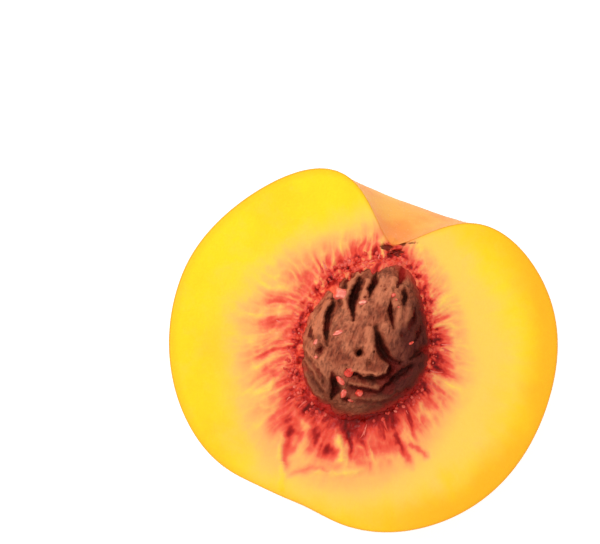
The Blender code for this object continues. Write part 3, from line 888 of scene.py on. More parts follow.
def flesh_material(colours):
    """Wet cut flesh: deepest red at the stone, then salmon, cream and yellow, and gold near the skin."""
    surface = Surface("peach_flesh")
    place = surface.place()
    ray = surface.attribute("ray", "Vector")
    pale = surface.attribute("pale")
    rim_gap = surface.attribute("rim_gap")
    scar = surface.attribute("scar")
    torn = surface.attribute("torn")

    thread = surface.noise(surface.stretch(ray, (26.0, 26.0, 0.7)), 1.0, 3.0, 0.55)
    blot = surface.noise(place, 420.0, 3.0)
    wide = surface.noise(place, 80.0, 4.0, 0.6)
    cloud = surface.noise(place, 190.0, 4.0, 0.6)

    far_streak = surface.noise(surface.stretch(ray, (9.0, 9.0, 0.08)), 1.0, 3.0, 0.55)
    ripe = wide.ramp(0.40, 0.66) * 0.24 + surface.split(place, "Y").ramp(0.022, -0.026) * 0.24
    lemon = surface.mix(ripe, colours.flesh, colours.flesh_gold)
    lopsided = surface.split(ray, "Z") - surface.split(place, "X") * 130.0
    off_stone = lopsided + surface.split(place, "Y") * 90.0
    halo = (off_stone + (wide - 0.5) * 10.0 + (far_streak - 0.5) * 8.0).ramp(17.5, 8.5)
    clouded = surface.mix(halo * 0.85 + cloud.ramp(0.46, 0.72) * 0.20, lemon, colours.flesh_cream)
    edge = (rim_gap + (wide - 0.5) * 11.0).ramp(8.5, 1.0)
    sunny = surface.split(place, "X").ramp(0.002, 0.028)
    outermost = (rim_gap + (wide - 0.5) * 2.0).ramp(1.9, 0.2) * 0.42
    gold = surface.mix((edge * sunny * 0.95).greater(outermost), clouded, colours.flesh_gold)
    share = pale + ((thread - 0.5) * 0.30 + (blot - 0.5) * 0.16) * torn
    stops = [
        (0.00, (0.150, 0.004, 0.002)), (0.12, (0.300, 0.006, 0.004)), (0.24, colours.crimson),
        (0.36, colours.red), (0.50, (0.880, 0.135, 0.070)), (0.62, colours.salmon),
        (0.76, (0.950, 0.440, 0.120)), (0.92, colours.flesh_cream),
    ]
    red = surface.colours(share, stops)
    coloured = surface.mix((share + (cloud - 0.5) * 0.2).ramp(0.80, 0.96), red, gold)
    skin_line = surface.mix(rim_gap.ramp(0.36, 0.10) * 0.45, coloured, colours.skin)
    scarred = surface.mix(scar.ramp(0.20, 1.00) * 0.85, skin_line, (0.150, 0.012, 0.005))

    grain = surface.noise(place, 2600.0, 3.0, 0.6)
    pores = surface.cells(place, 1500.0)
    height = grain * 0.5 + pores * 0.4 + thread * torn * 1.6
    normal = surface.bump(height, 0.00018, 0.5)
    return surface.finish({
        "Base Color": scarred,
        "Roughness": 0.50 + 0.16 * grain - torn * 0.34,
        "Normal": normal,
        "Specular IOR Level": 0.14,
        "Subsurface Weight": 0.10,
        "Subsurface Radius": (1.0, 0.45, 0.12),
        "Subsurface Scale": 0.0008,
    })


def skin_material(colours):
    """Fuzzy skin: golden, with a blush, redder at the stem scar, pale dots and a soft sheen."""
    surface = Surface("peach_skin")
    place = surface.place()
    wide = surface.noise(place, 38.0, 3.0, 0.55)
    patch = surface.noise(place, 110.0, 4.0, 0.6)
    speck = surface.cells(place, 900.0)
    fleck = surface.noise(place, 1700.0, 2.0)
    ground = surface.mix(patch.ramp(0.36, 0.64), colours.skin, colours.skin_light)
    sunny = surface.split(place, "Y") * -9.0 + surface.split(place, "X") * 14.0 + wide * 2.6 - 0.95
    blushed = surface.mix(sunny.ramp(0.15, 1.0) * (0.35 + 0.5 * patch), ground, colours.blush)
    near_scar = (surface.distance(place, SCAR_PLACE) + (patch - 0.5) * 0.008).ramp(0.0095, 0.002)
    reddened = surface.mix(near_scar * 0.60, blushed, (0.880, 0.230, 0.030))
    dotted = surface.mix(speck.ramp(0.22, 0.06) * 0.18, reddened, (0.95, 0.70, 0.34))
    mottled = surface.mix(fleck.ramp(0.55, 0.8) * 0.25, dotted, colours.blush)
    height = fleck * 0.6 + speck * 0.5
    normal = surface.bump(height, 0.00012, 0.35)
    return surface.finish({
        "Base Color": mottled,
        "Roughness": 0.52 + 0.14 * patch,
        "Normal": normal,
        "Sheen Weight": 0.05,
        "Sheen Roughness": 0.45,
        "Sheen Tint": (1.0, 0.88, 0.72, 1.0),
        "Subsurface Weight": 0.08,
        "Subsurface Radius": (1.0, 0.45, 0.15),
        "Subsurface Scale": 0.0012,
    })


def stone_material(colours):
    """Woody shell: brown, with a painted highlight on its ridges and ledge edges, painted shade on the
    right, darker toward the tip, crimson with painted shade near the flesh, and nearly black in the
    furrows, partly as painted shade.
    """
    surface = Surface("peach_stone")
    place = surface.place()
    hollow = surface.attribute("hollow")
    crest = surface.attribute("crest")
    grain = surface.noise(surface.stretch(place, (1.0, 0.45, 1.0)), 1500.0, 4.0, 0.65)
    streak = surface.noise(surface.stretch(place, (1.0, 0.30, 1.0)), 520.0, 3.0, 0.6)
    blot = surface.noise(place, 240.0, 4.0, 0.6)
    dust = surface.noise(place, 3200.0, 2.0)
    ground = surface.mix(blot.ramp(0.38, 0.66), colours.stone_mid, colours.stone_pale_and_highlight)
    streaked = surface.mix(streak.ramp(0.50, 0.34) * 0.45, ground, colours.stone_mid)
    grained = surface.mix(grain.ramp(0.58, 0.36) * 0.58, streaked, colours.stone_dark)
    # Painted highlight: the crests and ledge edges are painted pale
    ridge_highlight = surface.mix((crest * (0.3 + grain)).ramp(0.10, 0.60) * 0.85, grained, colours.stone_pale_and_highlight)
    # Painted shade: the stone's right side is darkened to purple-brown
    shade = (surface.split(place, "X") + (blot - 0.5) * 0.010).ramp(0.0025, 0.0085) * 0.93
    shaded_right = surface.mix(shade, ridge_highlight, (0.075, 0.007, 0.006))
    # Darker brown toward the tip end
    tip_side = surface.split(place, "Y").ramp(-0.003, -0.010) * 0.62
    darker_to_tip = surface.mix(tip_side, shaded_right, (0.150, 0.032, 0.015))
    # Nearly black in the furrows: partly their own dark, partly painted shade
    deep = surface.mix((hollow + (blot - 0.5) * 0.5).ramp(0.25, 1.8) * 0.93, darker_to_tip, colours.stone_dark)
    stained = surface.mix((blot * hollow.ramp(0.1, 0.8)).ramp(0.42, 0.62) * 0.20, deep, colours.crimson)
    # Crimson low on the stone by the cut: the flesh's red on it, with painted shade where it meets the
    # flesh
    low = surface.split(place, "Z").ramp(CUT_HEIGHT + 0.0030, CUT_HEIGHT + 0.0004)
    stained_and_shaded_at_cut = surface.mix(low * 0.75, stained, colours.crimson)
    height = grain + dust * 0.5
    normal = surface.bump(height, 0.00034, 0.8)
    return surface.finish({
        "Base Color": stained_and_shaded_at_cut,
        "Roughness": 0.46 + 0.22 * grain,
        "Normal": normal,
        "Specular IOR Level": 0.10,
    })


def pulp_material(name, colours, dark):
    """Wet shreds and bits of flesh: each has its own tint, from dark over red to pale pink; on the bits
    left on the stone the tint also holds a painted highlight on top and painted shade below.
    """
    surface = Surface(name)
    tint = surface.attribute("tint")
    place = surface.place()
    mottle = surface.noise(place, 1500.0, 2.0)
    stops = [(0.0, dark), (0.35, colours.red), (0.7, colours.pink), (1.0, colours.pale_pink)]
    colour = surface.colours(tint + (mottle - 0.5) * 0.3, stops)
    normal = surface.bump(mottle, 0.0001, 0.4)
    return surface.finish({
        "Base Color": colour,
        "Roughness": 0.30 + 0.1 * mottle,
        "Normal": normal,
        "Subsurface Weight": 0.15,
        "Subsurface Radius": (1.0, 0.35, 0.2),
        "Subsurface Scale": 0.0008,
        "IOR": 1.38,
    })


def fuzz_material(colours):
    """Pale, soft hairs."""
    surface = Surface("peach_fuzz")
    tint = surface.attribute("tint")
    colour = surface.mix(tint, colours.skin_light, (1.0, 0.70, 0.36))
    return surface.finish({
        "Base Color": colour,
        "Roughness": 0.62 + 0.1 * tint,
        "Specular IOR Level": 0.2,
    })


# Pieces


def skin_points(sizes):
    """Return the points of the skin, row by row, and its poles at the stem end and the tip.

    The columns are crowded toward the stem cavity, and the back is dented a little.
    """
    u = np.linspace(0.0, math.pi, SKIN_COLUMNS + 1)
    u = u - SKIN_STEM_CROWDING * np.sin(u) * (1.0 + np.cos(u))
    v = np.linspace(0.0, math.pi, SKIN_ROWS + 1)
    x, y, z = fruit_surface(sizes, *np.meshgrid(u[1:-1], v))
    dent = fractal(x / DENT_WIDTH, y / DENT_WIDTH, z / DENT_WIDTH, 51)
    shrink = (DENT_DEPTH + DENT_DEPTH * dent) * MM * blend(CUT_HEIGHT - z, 0.0, 3.0 * MM)
    out = scaled_to_one(np.stack([x, y, z - CUT_HEIGHT], axis=-1))
    skin = np.stack([x, y, z], axis=-1) - out * shrink[..., None]
    skin[..., 2] = np.maximum(skin[..., 2], 0.0)
    poles = np.array([fruit_surface(sizes, np.array(end), np.array(0.0)) for end in (0.0, math.pi)])
    return skin.reshape(-1, 3), poles


def socket_rings(sizes, turn):
    """Return the rings of the socket under the stone, without its lowest point."""
    sink = np.linspace(0.0, math.pi / 2.0, SOCKET_RINGS + 2)[1:-1, None]
    unit = (np.cos(turn) * np.cos(sink), np.sin(turn) * np.cos(sink), -np.sin(sink) * np.ones_like(turn))
    return np.stack(stone_body(sizes, *unit, SOCKET_GAP), axis=-1) + (STONE_X, STONE_Y, CUT_HEIGHT)


def skin_faces(stem_pole, tip_pole):
    """Return the quads of the skin, and the fans that close it at its poles."""
    columns = SKIN_COLUMNS - 1
    stem_column = np.arange(SKIN_ROWS + 1) * columns
    tip_column = stem_column + columns - 1
    stem_fan = np.stack([stem_column[:-1], stem_column[1:], np.full(SKIN_ROWS, stem_pole)], axis=-1)
    tip_fan = np.stack([tip_column[1:], tip_column[:-1], np.full(SKIN_ROWS, tip_pole)], axis=-1)
    return [grid_faces(0, SKIN_ROWS + 1, columns, False), stem_fan, tip_fan]


def flesh_faces(rim, first_ring, rings, lowest):
    """Return the quads from the rim over the cut face and down the socket, and the fan that closes it."""
    count = len(rim)
    outer_ring = first_ring + np.arange(count)
    seam = np.stack([rim, np.roll(rim, -1), np.roll(outer_ring, -1), outer_ring], axis=-1)
    inner = grid_faces(first_ring, rings, count, True)
    closing = fan_faces(outer_ring + (rings - 1) * count, lowest)
    return [seam[:, ::-1], inner[:, ::-1], closing[:, ::-1]]


def half_mesh(sizes):
    """Return the half's points, faces, point values and face slots, as one closed surface.

    The skin is a grid of angle from the stem end by angle round the back. Its edge is the rim. The
    cut face is a grid of straight rays from the rim to the stone's outline by shares of the way, and
    the socket carries those rays on down the stone's underside to one point.
    """
    skin, poles = skin_points(sizes)
    columns = SKIN_COLUMNS - 1
    stem_pole, tip_pole = len(skin), len(skin) + 1
    right_rim = np.arange(columns)
    left_rim = SKIN_ROWS * columns + np.arange(columns)
    rim = np.concatenate([[stem_pole], right_rim, [tip_pole], left_rim[::-1]])
    points = np.vstack([skin, poles])

    from_stone = points[rim, :2] - (STONE_X, STONE_Y)
    angle = np.arctan2(from_stone[:, 1], from_stone[:, 0])
    turn = stone_outline(sizes, angle)
    edge_x, edge_y, _ = stone_body(sizes, np.cos(turn), np.sin(turn), np.zeros_like(turn), SOCKET_GAP)
    edge = np.stack([edge_x + STONE_X, edge_y + STONE_Y], axis=-1)

    share = face_rings(FACE_RINGS)[1:, None]
    ring_x = points[rim, 0] * (1.0 - share) + edge[:, 0] * share
    ring_y = points[rim, 1] * (1.0 - share) + edge[:, 1] * share
    gap = np.hypot(ring_x - edge[:, 0], ring_y - edge[:, 1]) / MM
    rim_gap = np.hypot(ring_x - points[rim, 0], ring_y - points[rim, 1]) / MM
    angles = np.broadcast_to(angle, gap.shape)
    height, torn, fold = torn_relief(angles, gap, rim_gap, ring_x / MM, ring_y / MM)
    face = np.stack([ring_x, ring_y, CUT_HEIGHT + height * MM], axis=-1)

    lip, lip_fold = lip_rings(sizes, angle, turn)
    bowl = socket_rings(sizes, turn)
    bottom = np.array([[STONE_X, STONE_Y, CUT_HEIGHT - STONE_SINK - SOCKET_GAP]])
    first_ring = len(points)
    points = np.vstack([points, face.reshape(-1, 3), lip.reshape(-1, 3), bowl.reshape(-1, 3), bottom])

    outside = skin_faces(stem_pole, tip_pole)
    inside = flesh_faces(rim, first_ring, FACE_RINGS + len(lip) + SOCKET_RINGS, len(points) - 1)
    slots = np.repeat([1, 0], [sum(map(len, faces)) for faces in (outside, inside)])

    after_face = len(points) - first_ring - gap.size
    below_lip = after_face - lip_fold.size
    rim_reach = np.zeros(first_ring)
    rim_reach[rim] = np.hypot(*(points[rim, :2] - edge).T) / MM
    all_gap = np.concatenate([rim_reach, gap.ravel(), np.zeros(after_face)])
    all_rim = np.concatenate([np.zeros(first_ring), rim_gap.ravel(), np.full(after_face, FAR_INSIDE)])
    all_torn = np.concatenate([np.zeros(first_ring), torn.ravel(), np.ones(after_face)])
    all_fold = np.concatenate(
        [np.full(first_ring, 0.65), fold.ravel(), lip_fold.ravel(), np.zeros(below_lip)])
    around = np.arctan2(points[:, 1] - STONE_Y, points[:, 0] - STONE_X)
    values = {
        "ray": np.stack([np.cos(around), np.sin(around), all_gap], axis=-1),
        "pale": paleness(around, all_gap, points[:, 0] / MM, points[:, 1] / MM, all_fold),
        "rim_gap": all_rim,
        "torn": all_torn,
        "scar": scar_share(points[:, 0] / MM, points[:, 1] / MM)[0],
    }
    return points, outside + inside, values, slots


def lip_point(sizes, turn, climb, lift):
    """Return places over the stone's upper side, climb radians up from its outline and lifted in mm."""
    unit = (np.cos(turn) * np.cos(climb), np.sin(turn) * np.cos(climb), np.sin(climb))
    points, normal, _, _ = stone_surface(sizes, *unit)
    points = points + normal * np.asarray(lift)[..., None]
    return points * MM + (STONE_X, STONE_Y, CUT_HEIGHT)


def lip_rings(sizes, angle, turn):
    """Return the rings of the flesh that clings to the stone: up over its edge, and back beneath.

    The lip is thickest at the stone's outline and thins out with the square of the way up.
    """
    reach = lip_reach(angle)
    way = np.linspace(0.0, 1.0, LIP_RINGS + 1)[1:, None]
    lumps = 0.5 * fractal(np.cos(angle) * 14.0, np.sin(angle) * 14.0, way * 2.0, 65)
    thick = LIP_THICKNESS * (1.0 - way**2) * (1.0 + 1.2 * lumps) + LIP_EDGE
    upper = lip_point(sizes, turn * np.ones_like(way), reach * way, thick)
    back = way[::-3]
    under = lip_point(sizes, turn * np.ones_like(back), reach * back * LIP_BACK, LIP_UNDERSIDE)
    # The lip's lumps count as fibre crests, so its colour is paler on them and redder between: painted
    # light and shade
    upper_fold = np.clip(0.55 + 0.5 * lumps, 0.0, 1.0)
    return np.concatenate([upper, under]), np.concatenate([upper_fold, np.zeros((len(back), len(turn)))])


def scar_share(x, y):
    """Return how brown the torn stem scar is, and how deep in mm, at plan x and y in mm: ragged blots."""
    ragged = 0.9 * noise(x * 1.7, y * 1.7, 0.0, 71) + 0.9 * noise(x * 4.0, y * 4.0, 0.0, 72)
    share, hollow = np.zeros_like(x), np.zeros_like(x)
    turn_x, turn_y = math.cos(VIEW_AZIMUTH), math.sin(VIEW_AZIMUTH)
    for (blot_x, blot_y), half_width, half_height, deep in SCAR_BLOTS:
        along = (x - blot_x) * turn_x + (y - blot_y) * turn_y
        across = (y - blot_y) * turn_x - (x - blot_x) * turn_y
        far = np.hypot(along / half_width, across / half_height)
        blot = 1.0 - blend(far + 0.4 * ragged, 0.65, 1.25)
        share = np.maximum(share, blot)
        hollow = np.maximum(hollow, deep * blot)
    return share, hollow


def stone_mesh(sizes):
    """Return the points, faces and point values of the stone.

    The surface is taken at the points of a sphere grid that has its poles on the fruit's axis and its
    columns crowded toward the top.
    """
    u = np.linspace(0.0, math.pi, STONE_ROWS + 1)[1:-1, None]
    turn = even_turns(STONE_COLUMNS)[None, :]
    turn = turn + STONE_TOP_CROWDING * np.cos(turn)
    unit = [np.sin(u) * np.cos(turn), np.cos(u) * np.ones_like(turn), np.sin(u) * np.sin(turn)]
    unit = [np.concatenate([axis.ravel(), [0.0, 0.0]]) for axis in unit]
    unit[1][-2:] = (1.0, -1.0)
    points, _, hollow, crest = stone_surface(sizes, *unit)
    points = points * MM + (STONE_X, STONE_Y, CUT_HEIGHT)
    points[:, 2] = np.minimum(points[:, 2], STONE_TOP)

    rows = STONE_ROWS - 1
    quads = grid_faces(0, rows, STONE_COLUMNS, True)
    stem_ring = np.arange(STONE_COLUMNS)
    tip_ring = (rows - 1) * STONE_COLUMNS + stem_ring
    stem_pole, tip_pole = rows * STONE_COLUMNS, rows * STONE_COLUMNS + 1
    faces = [quads, fan_faces(stem_ring, stem_pole)[:, ::-1], fan_faces(tip_ring, tip_pole)]
    return points, faces, {"hollow": hollow, "crest": crest}


def strands(roots, directions, lifts, lengths, widths, rng, rings=7, sides=6):
    """Return points, faces and a tint for tapered strands.

    Each strand leaves its root along its direction, bends aside with the square of the way along, and
    narrows to its tip. Its section is a small flattened ring of sides.
    """
    count = len(roots)
    t = np.linspace(0.0, 1.0, rings)[None, :, None]
    bend = lengths[:, None, None] * STRAND_BEND * rng.uniform(-1.0, 1.0, (count, 1, 1))
    across = scaled_to_one(np.cross(directions, lifts))
    spine = (
        roots[:, None, :]
        + directions[:, None, :] * lengths[:, None, None] * t
        + across[:, None, :] * bend * t**2
    )
    girth = widths[:, None, None] * (1.0 - 0.86 * t**1.5)
    around = even_turns(sides)
    section = (
        across[:, None, None, :] * np.cos(around)[None, None, :, None]
        + lifts[:, None, None, :] * np.sin(around)[None, None, :, None] * 0.7
    )
    points = spine[:, :, None, :] + section * girth[:, :, :, None]
    ring = np.arange(sides)[None]
    face_sets = (grid_faces(0, rings, sides, True)[:, ::-1], ring, (rings - 1) * sides + ring[:, ::-1])
    tint = np.repeat(rng.uniform(0.0, 1.0, count), rings * sides)
    return points.reshape(-1, 3), repeat_faces(face_sets, count, rings * sides), tint


def outline_places(sizes, angle):
    """Return the stone's outline at each plan angle, in the cut plane, and the ray away from the stone."""
    turn = stone_outline(sizes, angle)
    x, y, _ = stone_body(sizes, np.cos(turn), np.sin(turn), np.zeros_like(turn), SOCKET_GAP)
    ray = np.stack([np.cos(angle), np.sin(angle), np.zeros_like(angle)], axis=-1)
    place = np.stack([x + STONE_X, y + STONE_Y, np.full_like(x, CUT_HEIGHT)], axis=-1)
    return place, ray


def lying_strands(sizes, angle, gap, stray, lengths, widths, rng):
    """Return strands that lie on the flesh, at each angle and distance from the stone, about on its ray."""
    place, ray = outline_places(sizes, angle)
    roots = place + ray * (gap * MM)[:, None]
    height, _, _ = torn_relief(angle, gap, FAR_INSIDE, *(roots[:, :2].T / MM))
    roots[:, 2] = CUT_HEIGHT + (height - 0.10) * MM
    swing = angle + rng.normal(0.0, stray, len(angle))
    aim = np.stack([np.cos(swing), np.sin(swing), rng.uniform(-0.03, 0.16, len(angle))], axis=-1)
    aim = scaled_to_one(aim)
    flat = np.hypot(aim[:, 0], aim[:, 1])
    up = scaled_to_one(np.stack([-aim[:, 0] * aim[:, 2], -aim[:, 1] * aim[:, 2], flat**2], axis=-1))
    return strands(roots, aim, up, lengths, widths, rng)


def rim_shreds(sizes):
    """Return torn fibres that lie on the flesh round the stone."""
    rng = np.random.default_rng(5)
    count, length_span, width_span, stray = RIM_SHREDS
    angle = rng.uniform(0.0, 2.0 * math.pi, count)
    share = rng.uniform(0.0, 0.45, count)
    gap = share * red_reach(angle)
    lengths = rng.uniform(*length_span, count) * MM
    widths = rng.uniform(*width_span, count) * MM
    points, faces, tint = lying_strands(sizes, angle, gap, stray, lengths, widths, rng)
    share = np.repeat(share, len(points) // count)
    return points, faces, {"tint": np.clip(0.42 + 0.40 * share + 0.40 * (tint - 0.5), 0.0, 1.0)}


def scar_fibres(sizes):
    """Return the dark torn scraps of the stem scar."""
    rng = np.random.default_rng(12)
    count, length_span, width_span, stray = SCAR_FIBRES
    blot = rng.integers(0, len(SCAR_BLOTS), count)
    middle = np.array([place for place, *_ in SCAR_BLOTS])[blot]
    half = np.array([sizes_of for _, *sizes_of, _ in SCAR_BLOTS])[blot]
    spot = middle + half * rng.normal(0.0, 0.45, (count, 2))
    from_stone = spot - np.array([STONE_X, STONE_Y]) / MM
    angle = np.arctan2(from_stone[:, 1], from_stone[:, 0])
    edge, _ = outline_places(sizes, angle)
    gap = np.hypot(*from_stone.T) - np.hypot(*((edge[:, :2] - (STONE_X, STONE_Y)) / MM).T)
    lengths = rng.uniform(*length_span, count) * MM
    widths = rng.uniform(*width_span, count) * MM
    points, faces, tint = lying_strands(sizes, angle, gap, stray, lengths, widths, rng)
    return points, faces, {"tint": 0.5 * tint}


def beads(centres, radii, rng):
    """Return the points, faces and tint of small uneven beads, one at each centre."""
    ball, quads, caps = ball_mesh(6, 8)
    count = len(centres)
    stretch = rng.uniform(0.75, 1.3, (count, 1, 3)) * (1.0, 1.0, CELL_FLATNESS)
    points = centres[:, None, :] + ball[None] * radii[:, None, None] * stretch
    tint = np.repeat(rng.uniform(0.0, 1.0, count), len(ball))
    return points.reshape(-1, 3), repeat_faces((quads, caps), count, len(ball)), tint


def wet_cells(sizes):
    """Return wet cells of pulp, in clusters on the flesh that clings to the stone and beside it."""
    rng = np.random.default_rng(8)
    counts = [count for *_, count in CELL_CLUSTERS]
    middle, gap_middle, spread, gap_spread = np.repeat(
        np.array([cluster[:-1] for cluster in CELL_CLUSTERS]), counts, axis=0).T
    count = len(middle)
    angle = np.radians(middle + spread * rng.normal(0.0, 1.0, count))
    gap = gap_middle + gap_spread * rng.normal(0.0, 1.0, count)
    turn = stone_outline(sizes, angle)
    climb = np.clip(-gap / 9.0, 0.0, 0.9 * lip_reach(angle))
    way = climb / lip_reach(angle)
    lifted = lip_point(sizes, turn, climb, 0.42 * (1.0 - way**2))
    edge, ray = outline_places(sizes, angle)
    beside = edge + ray * (np.maximum(gap, 0.0) * MM)[:, None]
    x, y = beside[:, :2].T / MM
    height, _, _ = torn_relief(angle, np.maximum(gap, 0.0), FAR_INSIDE, x, y)
    beside[:, 2] = CUT_HEIGHT + height * MM
    centres = np.where((gap < 0.0)[:, None], lifted, beside)
    radii = rng.uniform(*CELL_RADII, count) * MM
    centres[:, 2] -= 0.40 * radii
    points, faces, tint = beads(centres, radii, rng)
    return points, faces, {"tint": 0.20 + 0.42 * tint**3}


def pulp_bits(sizes):
    """Return bits of flesh left on the stone: flattened lumpy balls that follow the shell, tinted paler on
    top and on their lumps as painted highlight, and darker below as painted shade.
    """
    rng = np.random.default_rng(3)
    stone_points = stone_mesh(sizes)[0]
    upper = stone_points[stone_points[:, 2] > CUT_HEIGHT]
    ball, quads, caps = ball_mesh(14, 20)
    points, tints_with_painted_light = [], []
    for (x, y), length, width, turn, tint in PULP_BITS:
        spin = math.radians(turn)
        seed = rng.uniform(0.0, 90.0)
        lumpy = 1.0 + 0.20 * fractal(ball[:, 0] * 1.6 + seed, ball[:, 1] * 1.6, ball[:, 2] * 1.6, 97)
        along, across = ball[:, 0] * lumpy * length / 2.0, ball[:, 1] * lumpy * width / 2.0
        plan_x = (x + along * math.cos(spin) - across * math.sin(spin)) * MM + STONE_X
        plan_y = (y + along * math.sin(spin) + across * math.cos(spin)) * MM + STONE_Y
        gaps = (plan_x[:, None] - upper[:, 0]) ** 2 + (plan_y[:, None] - upper[:, 1]) ** 2
        ground = upper[gaps.argmin(axis=1), 2]
        middle = np.median(ground)
        thick = 0.42 * min(length, width) * MM
        plan_z = 0.5 * (ground + middle) + ball[:, 2] * lumpy * thick + 0.3 * thick
        points.append(np.stack([plan_x, plan_y, np.minimum(plan_z, STONE_TOP)], axis=-1))
        # Painted light: each bit's tint is paler on its top and on its lumps, and darker below and in its
        # dents
        tints_with_painted_light.append(0.58 * tint + 0.26 * (ball[:, 2] - 0.2) + 0.9 * (lumpy - 1.0))
    faces = repeat_faces((quads, caps), len(points), len(ball))
    return np.vstack(points), faces, {"tint": np.clip(np.concatenate(tints_with_painted_light), 0.0, 1.0)}


def skin_fuzz(sizes):
    """Return short hairs over the skin: slim three-sided spikes that lean at random from its normal.

    Hairs that would stand out of the solids' box, or into the surface the half lies on, are left out.
    """
    rng = np.random.default_rng(21)
    step = 0.004
    u = np.arccos(rng.uniform(-1.0, 1.0, HAIRS))
    v = rng.uniform(step, math.pi - step, HAIRS)
    roots = np.stack(fruit_surface(sizes, u, v), axis=-1)
    along = np.stack(fruit_surface(sizes, u + step, v), axis=-1) - roots
    around = np.stack(fruit_surface(sizes, u, v + step), axis=-1) - roots
    normal = np.cross(around, along)
    size = np.linalg.norm(normal, axis=1, keepdims=True)
    normal = normal / np.where(size == 0.0, 1.0, size)
    outward = np.sign(((roots - (0.0, 0.0, CUT_HEIGHT)) * normal).sum(axis=1, keepdims=True))
    normal = normal * outward
    aim = scaled_to_one(normal + rng.normal(0.0, HAIR_LEAN, (HAIRS, 3)))
    side = scaled_to_one(np.cross(aim, rng.normal(0.0, 1.0, (HAIRS, 3))))
    cross = np.cross(aim, side)
    length = sizes.fuzz_length * rng.uniform(0.5, 1.0, HAIRS)[:, None]
    roots = roots - normal * HAIR_ROOT
    corners = [roots + (side * math.cos(a) + cross * math.sin(a)) * HAIR_GIRTH for a in (0.0, 2.1, 4.2)]
    tips = roots + aim * length
    inside = (tips > np.array(CAD_LOW)).all(axis=1) & (tips < np.array(CAD_HIGH)).all(axis=1)
    inside &= (roots[:, 2] > 0.1 * MM) & (tips[:, 2] < CUT_HEIGHT + 0.1 * MM) & (size[:, 0] > 0.0)
    points = np.stack([*corners, tips], axis=1)[inside].reshape(-1, 3)
    kept = int(inside.sum())
    pattern = np.array([(0, 1, 3), (1, 2, 3), (2, 0, 3), (0, 2, 1)])
    tint = np.repeat(rng.uniform(0.0, 1.0, kept), 4)
    return points, repeat_faces((pattern,), kept, 4), {"tint": tint}


class PeachOperator:
    """What the operators that add a piece have in common."""

    bl_options = {"REGISTER", "UNDO"}

    @staticmethod
    def keep(piece, slot, *nodes):
        """Put a piece on the root body and hide the solids it stands for; the slot, its finish, is not
        used.
        """
        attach(piece, "root")
        if nodes:
            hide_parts(*nodes)


class PEACH_OT_half(PeachOperator, bpy.types.Operator):
    """Add the flesh with its skin"""

    bl_idname = "peach.half"
    bl_label = "Flesh and Skin"

    def execute(self, context):
        sizes, colours = context.scene.peach_sizes, context.scene.peach_colours
        points, faces, values, slots = half_mesh(sizes)
        materials = (flesh_material(colours), skin_material(colours))
        piece = add_piece("flesh_and_skin", points, faces, values, materials, slots)
        self.keep(piece, "peach_flesh", "peach_half")
        return {"FINISHED"}


class PEACH_OT_stone(PeachOperator, bpy.types.Operator):
    """Add the stone"""

    bl_idname = "peach.stone"
    bl_label = "Stone"

    def execute(self, context):
        material = stone_material(context.scene.peach_colours)
        piece = add_piece("furrowed_stone", *stone_mesh(context.scene.peach_sizes), (material,))
        self.keep(piece, "peach_stone", "stone")
        return {"FINISHED"}


class PEACH_OT_shreds(PeachOperator, bpy.types.Operator):
    """Add the torn fibres round the stone and the scraps of the stem scar"""

    bl_idname = "peach.shreds"
    bl_label = "Torn Fibres"

    def execute(self, context):
        sizes, colours = context.scene.peach_sizes, context.scene.peach_colours
        pulp = pulp_material("torn_fibre", colours, colours.crimson)
        bark = pulp_material("stem_scar", colours, (0.160, 0.030, 0.012))
        for name, make, material in (("torn_fibres", rim_shreds, pulp), ("scar_fibres", scar_fibres, bark)):
            self.keep(add_piece(name, *make(sizes), (material,)), "peach_flesh")
        return {"FINISHED"}


class PEACH_OT_pulp(PeachOperator, bpy.types.Operator):
    """Add the wet cells of pulp and the bits of flesh left on the stone"""

    bl_idname = "peach.pulp"
    bl_label = "Pulp"

    def execute(self, context):
        sizes, colours = context.scene.peach_sizes, context.scene.peach_colours
        material = pulp_material("pulp", colours, colours.crimson)
        for name, make in (("wet_cells", wet_cells), ("pulp_bits", pulp_bits)):
            self.keep(add_piece(name, *make(sizes), (material,)), "peach_flesh")
        return {"FINISHED"}


class PEACH_OT_fuzz(PeachOperator, bpy.types.Operator):
    """Add the hairs of the skin"""

    bl_idname = "peach.fuzz"
    bl_label = "Skin Fuzz"

    def execute(self, context):
        material = fuzz_material(context.scene.peach_colours)
        piece = add_piece("skin_fuzz", *skin_fuzz(context.scene.peach_sizes), (material,))
        self.keep(piece, "peach_flesh")
        return {"FINISHED"}


class PEACH_OT_stage(bpy.types.Operator):
    """Add the floor, the lights and the camera"""

    bl_idname = "peach.stage"
    bl_label = "Stage"

    def execute(self, context):
        stage = context.scene.peach_stage
        add_floor(stage)
        add_lights(stage)
        add_camera(stage)
        context.scene.view_settings.view_transform = "Standard"
        return {"FINISHED"}


# Stage


def view_axes():
    """Return the picture's right, up and toward-the-camera directions."""
    turn, lift = VIEW_AZIMUTH, VIEW_ELEVATION
    right = Vector((math.cos(turn), math.sin(turn), 0.0))
    back = Vector((math.sin(turn) * math.cos(lift), -math.cos(turn) * math.cos(lift), math.sin(lift)))
    return right, back.cross(right), back


def add_floor(stage):
    """Add a wide pale floor under the half."""
    corners = ((-1.0, -1.0), (1.0, -1.0), (1.0, 1.0), (-1.0, 1.0))
    points = [(x * FLOOR_HALF, y * FLOOR_HALF, -FLOOR_DROP) for x, y in corners]
    material = Surface("floor").finish({
        "Base Color": as_colour(stage.floor_colour),
        "Roughness": 0.9,
        "Specular IOR Level": 0.1,
        "Emission Color": (1.0, 1.0, 1.0, 1.0),
        "Emission Strength": stage.floor_glow,
    })
    floor = add_piece("floor", points, [np.array([[0, 1, 2, 3]])], {}, (material,))


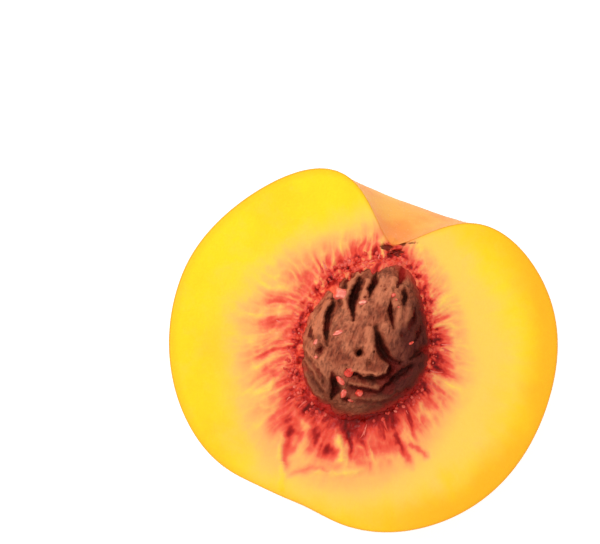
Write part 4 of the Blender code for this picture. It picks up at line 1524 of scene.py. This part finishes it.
def add_light(name, place, aim, size, power):
    """Add a square area light here, turned to its aim."""
    light = bpy.data.lights.new(name, "AREA")
    light.shape = "SQUARE"
    light.size = size
    light.energy = power
    lamp = bpy.data.objects.new(name, light)
    lamp.location = place
    lamp.rotation_euler = (aim - place).to_track_quat("-Z", "Y").to_euler()
    bpy.context.scene.collection.objects.link(lamp)


def add_lights(stage):
    """Add a soft key light from the picture's upper left, a wide fill from the lower right, a small
    lamp for glints, and an even sky.
    """
    right, up, back = view_axes()
    aim = Vector((0.0, 0.0, CUT_HEIGHT))
    for name, (across, along, off), size in LIGHTS:
        place = aim + right * across + up * along + back * off
        add_light(name, place, aim, size, getattr(stage, name + "_power"))
    world = bpy.data.worlds.new("sky")
    world.use_nodes = True
    world.node_tree.nodes["Background"].inputs["Color"].default_value = (1.0, 1.0, 1.0, 1.0)
    world.node_tree.nodes["Background"].inputs["Strength"].default_value = stage.sky_strength
    bpy.context.scene.world = world


def add_camera(stage):
    """Add the camera over the cut face, so that the half lies in the picture where it should."""
    right, up, back = view_axes()
    stone = Vector((STONE_X, STONE_Y, CUT_HEIGHT))
    distance = PICTURE_WIDTH * PIXEL * stage.lens * MM / SENSOR_WIDTH
    place = stone + right * (PICTURE_WIDTH / 2.0 - STONE_ACROSS) * PIXEL
    place = place - up * (PICTURE_HEIGHT / 2.0 - STONE_DOWN) * PIXEL
    camera = bpy.data.cameras.new("camera")
    camera.lens = stage.lens
    camera.sensor_width = SENSOR_WIDTH / MM
    camera.clip_start = distance * 0.05
    camera.clip_end = distance * 20.0
    rig = bpy.data.objects.new("camera", camera)
    rig.matrix_world = Matrix((right, up, back)).transposed().to_4x4()
    rig.location = place + back * distance
    bpy.context.scene.collection.objects.link(rig)
    bpy.context.scene.camera = rig


class PEACH_PT_panel(bpy.types.Panel):
    """Lists the pieces"""

    bl_idname = "PEACH_PT_panel"
    bl_label = "Clingstone Peach"
    bl_space_type = "VIEW_3D"
    bl_region_type = "UI"
    bl_category = "Peach"

    def draw(self, context):
        for operator in OPERATORS:
            self.layout.operator(operator.bl_idname)
        for group in ("peach_sizes", "peach_colours", "peach_stage"):
            settings = getattr(context.scene, group)
            box = self.layout.box()
            for name in settings.__annotations__:
                box.prop(settings, name)


GROUPS = {"peach_sizes": PeachSizes, "peach_colours": PeachColours, "peach_stage": PeachStage}
OPERATORS = (PEACH_OT_half, PEACH_OT_stone, PEACH_OT_shreds, PEACH_OT_pulp, PEACH_OT_fuzz, PEACH_OT_stage)
CLASSES = (*GROUPS.values(), *OPERATORS, PEACH_PT_panel)


def register():
    for item in CLASSES:
        bpy.utils.register_class(item)
    for name, group in GROUPS.items():
        setattr(bpy.types.Scene, name, bpy.props.PointerProperty(type=group))


def unregister():
    for name in GROUPS:
        delattr(bpy.types.Scene, name)
    for item in reversed(CLASSES):
        bpy.utils.unregister_class(item)


def main():
    """Add every piece."""
    register()
    bpy.ops.peach.half()
    bpy.ops.peach.stone()
    bpy.ops.peach.shreds()
    bpy.ops.peach.pulp()
    bpy.ops.peach.fuzz()
    bpy.ops.peach.stage()


if __name__ == "__main__":
    main()
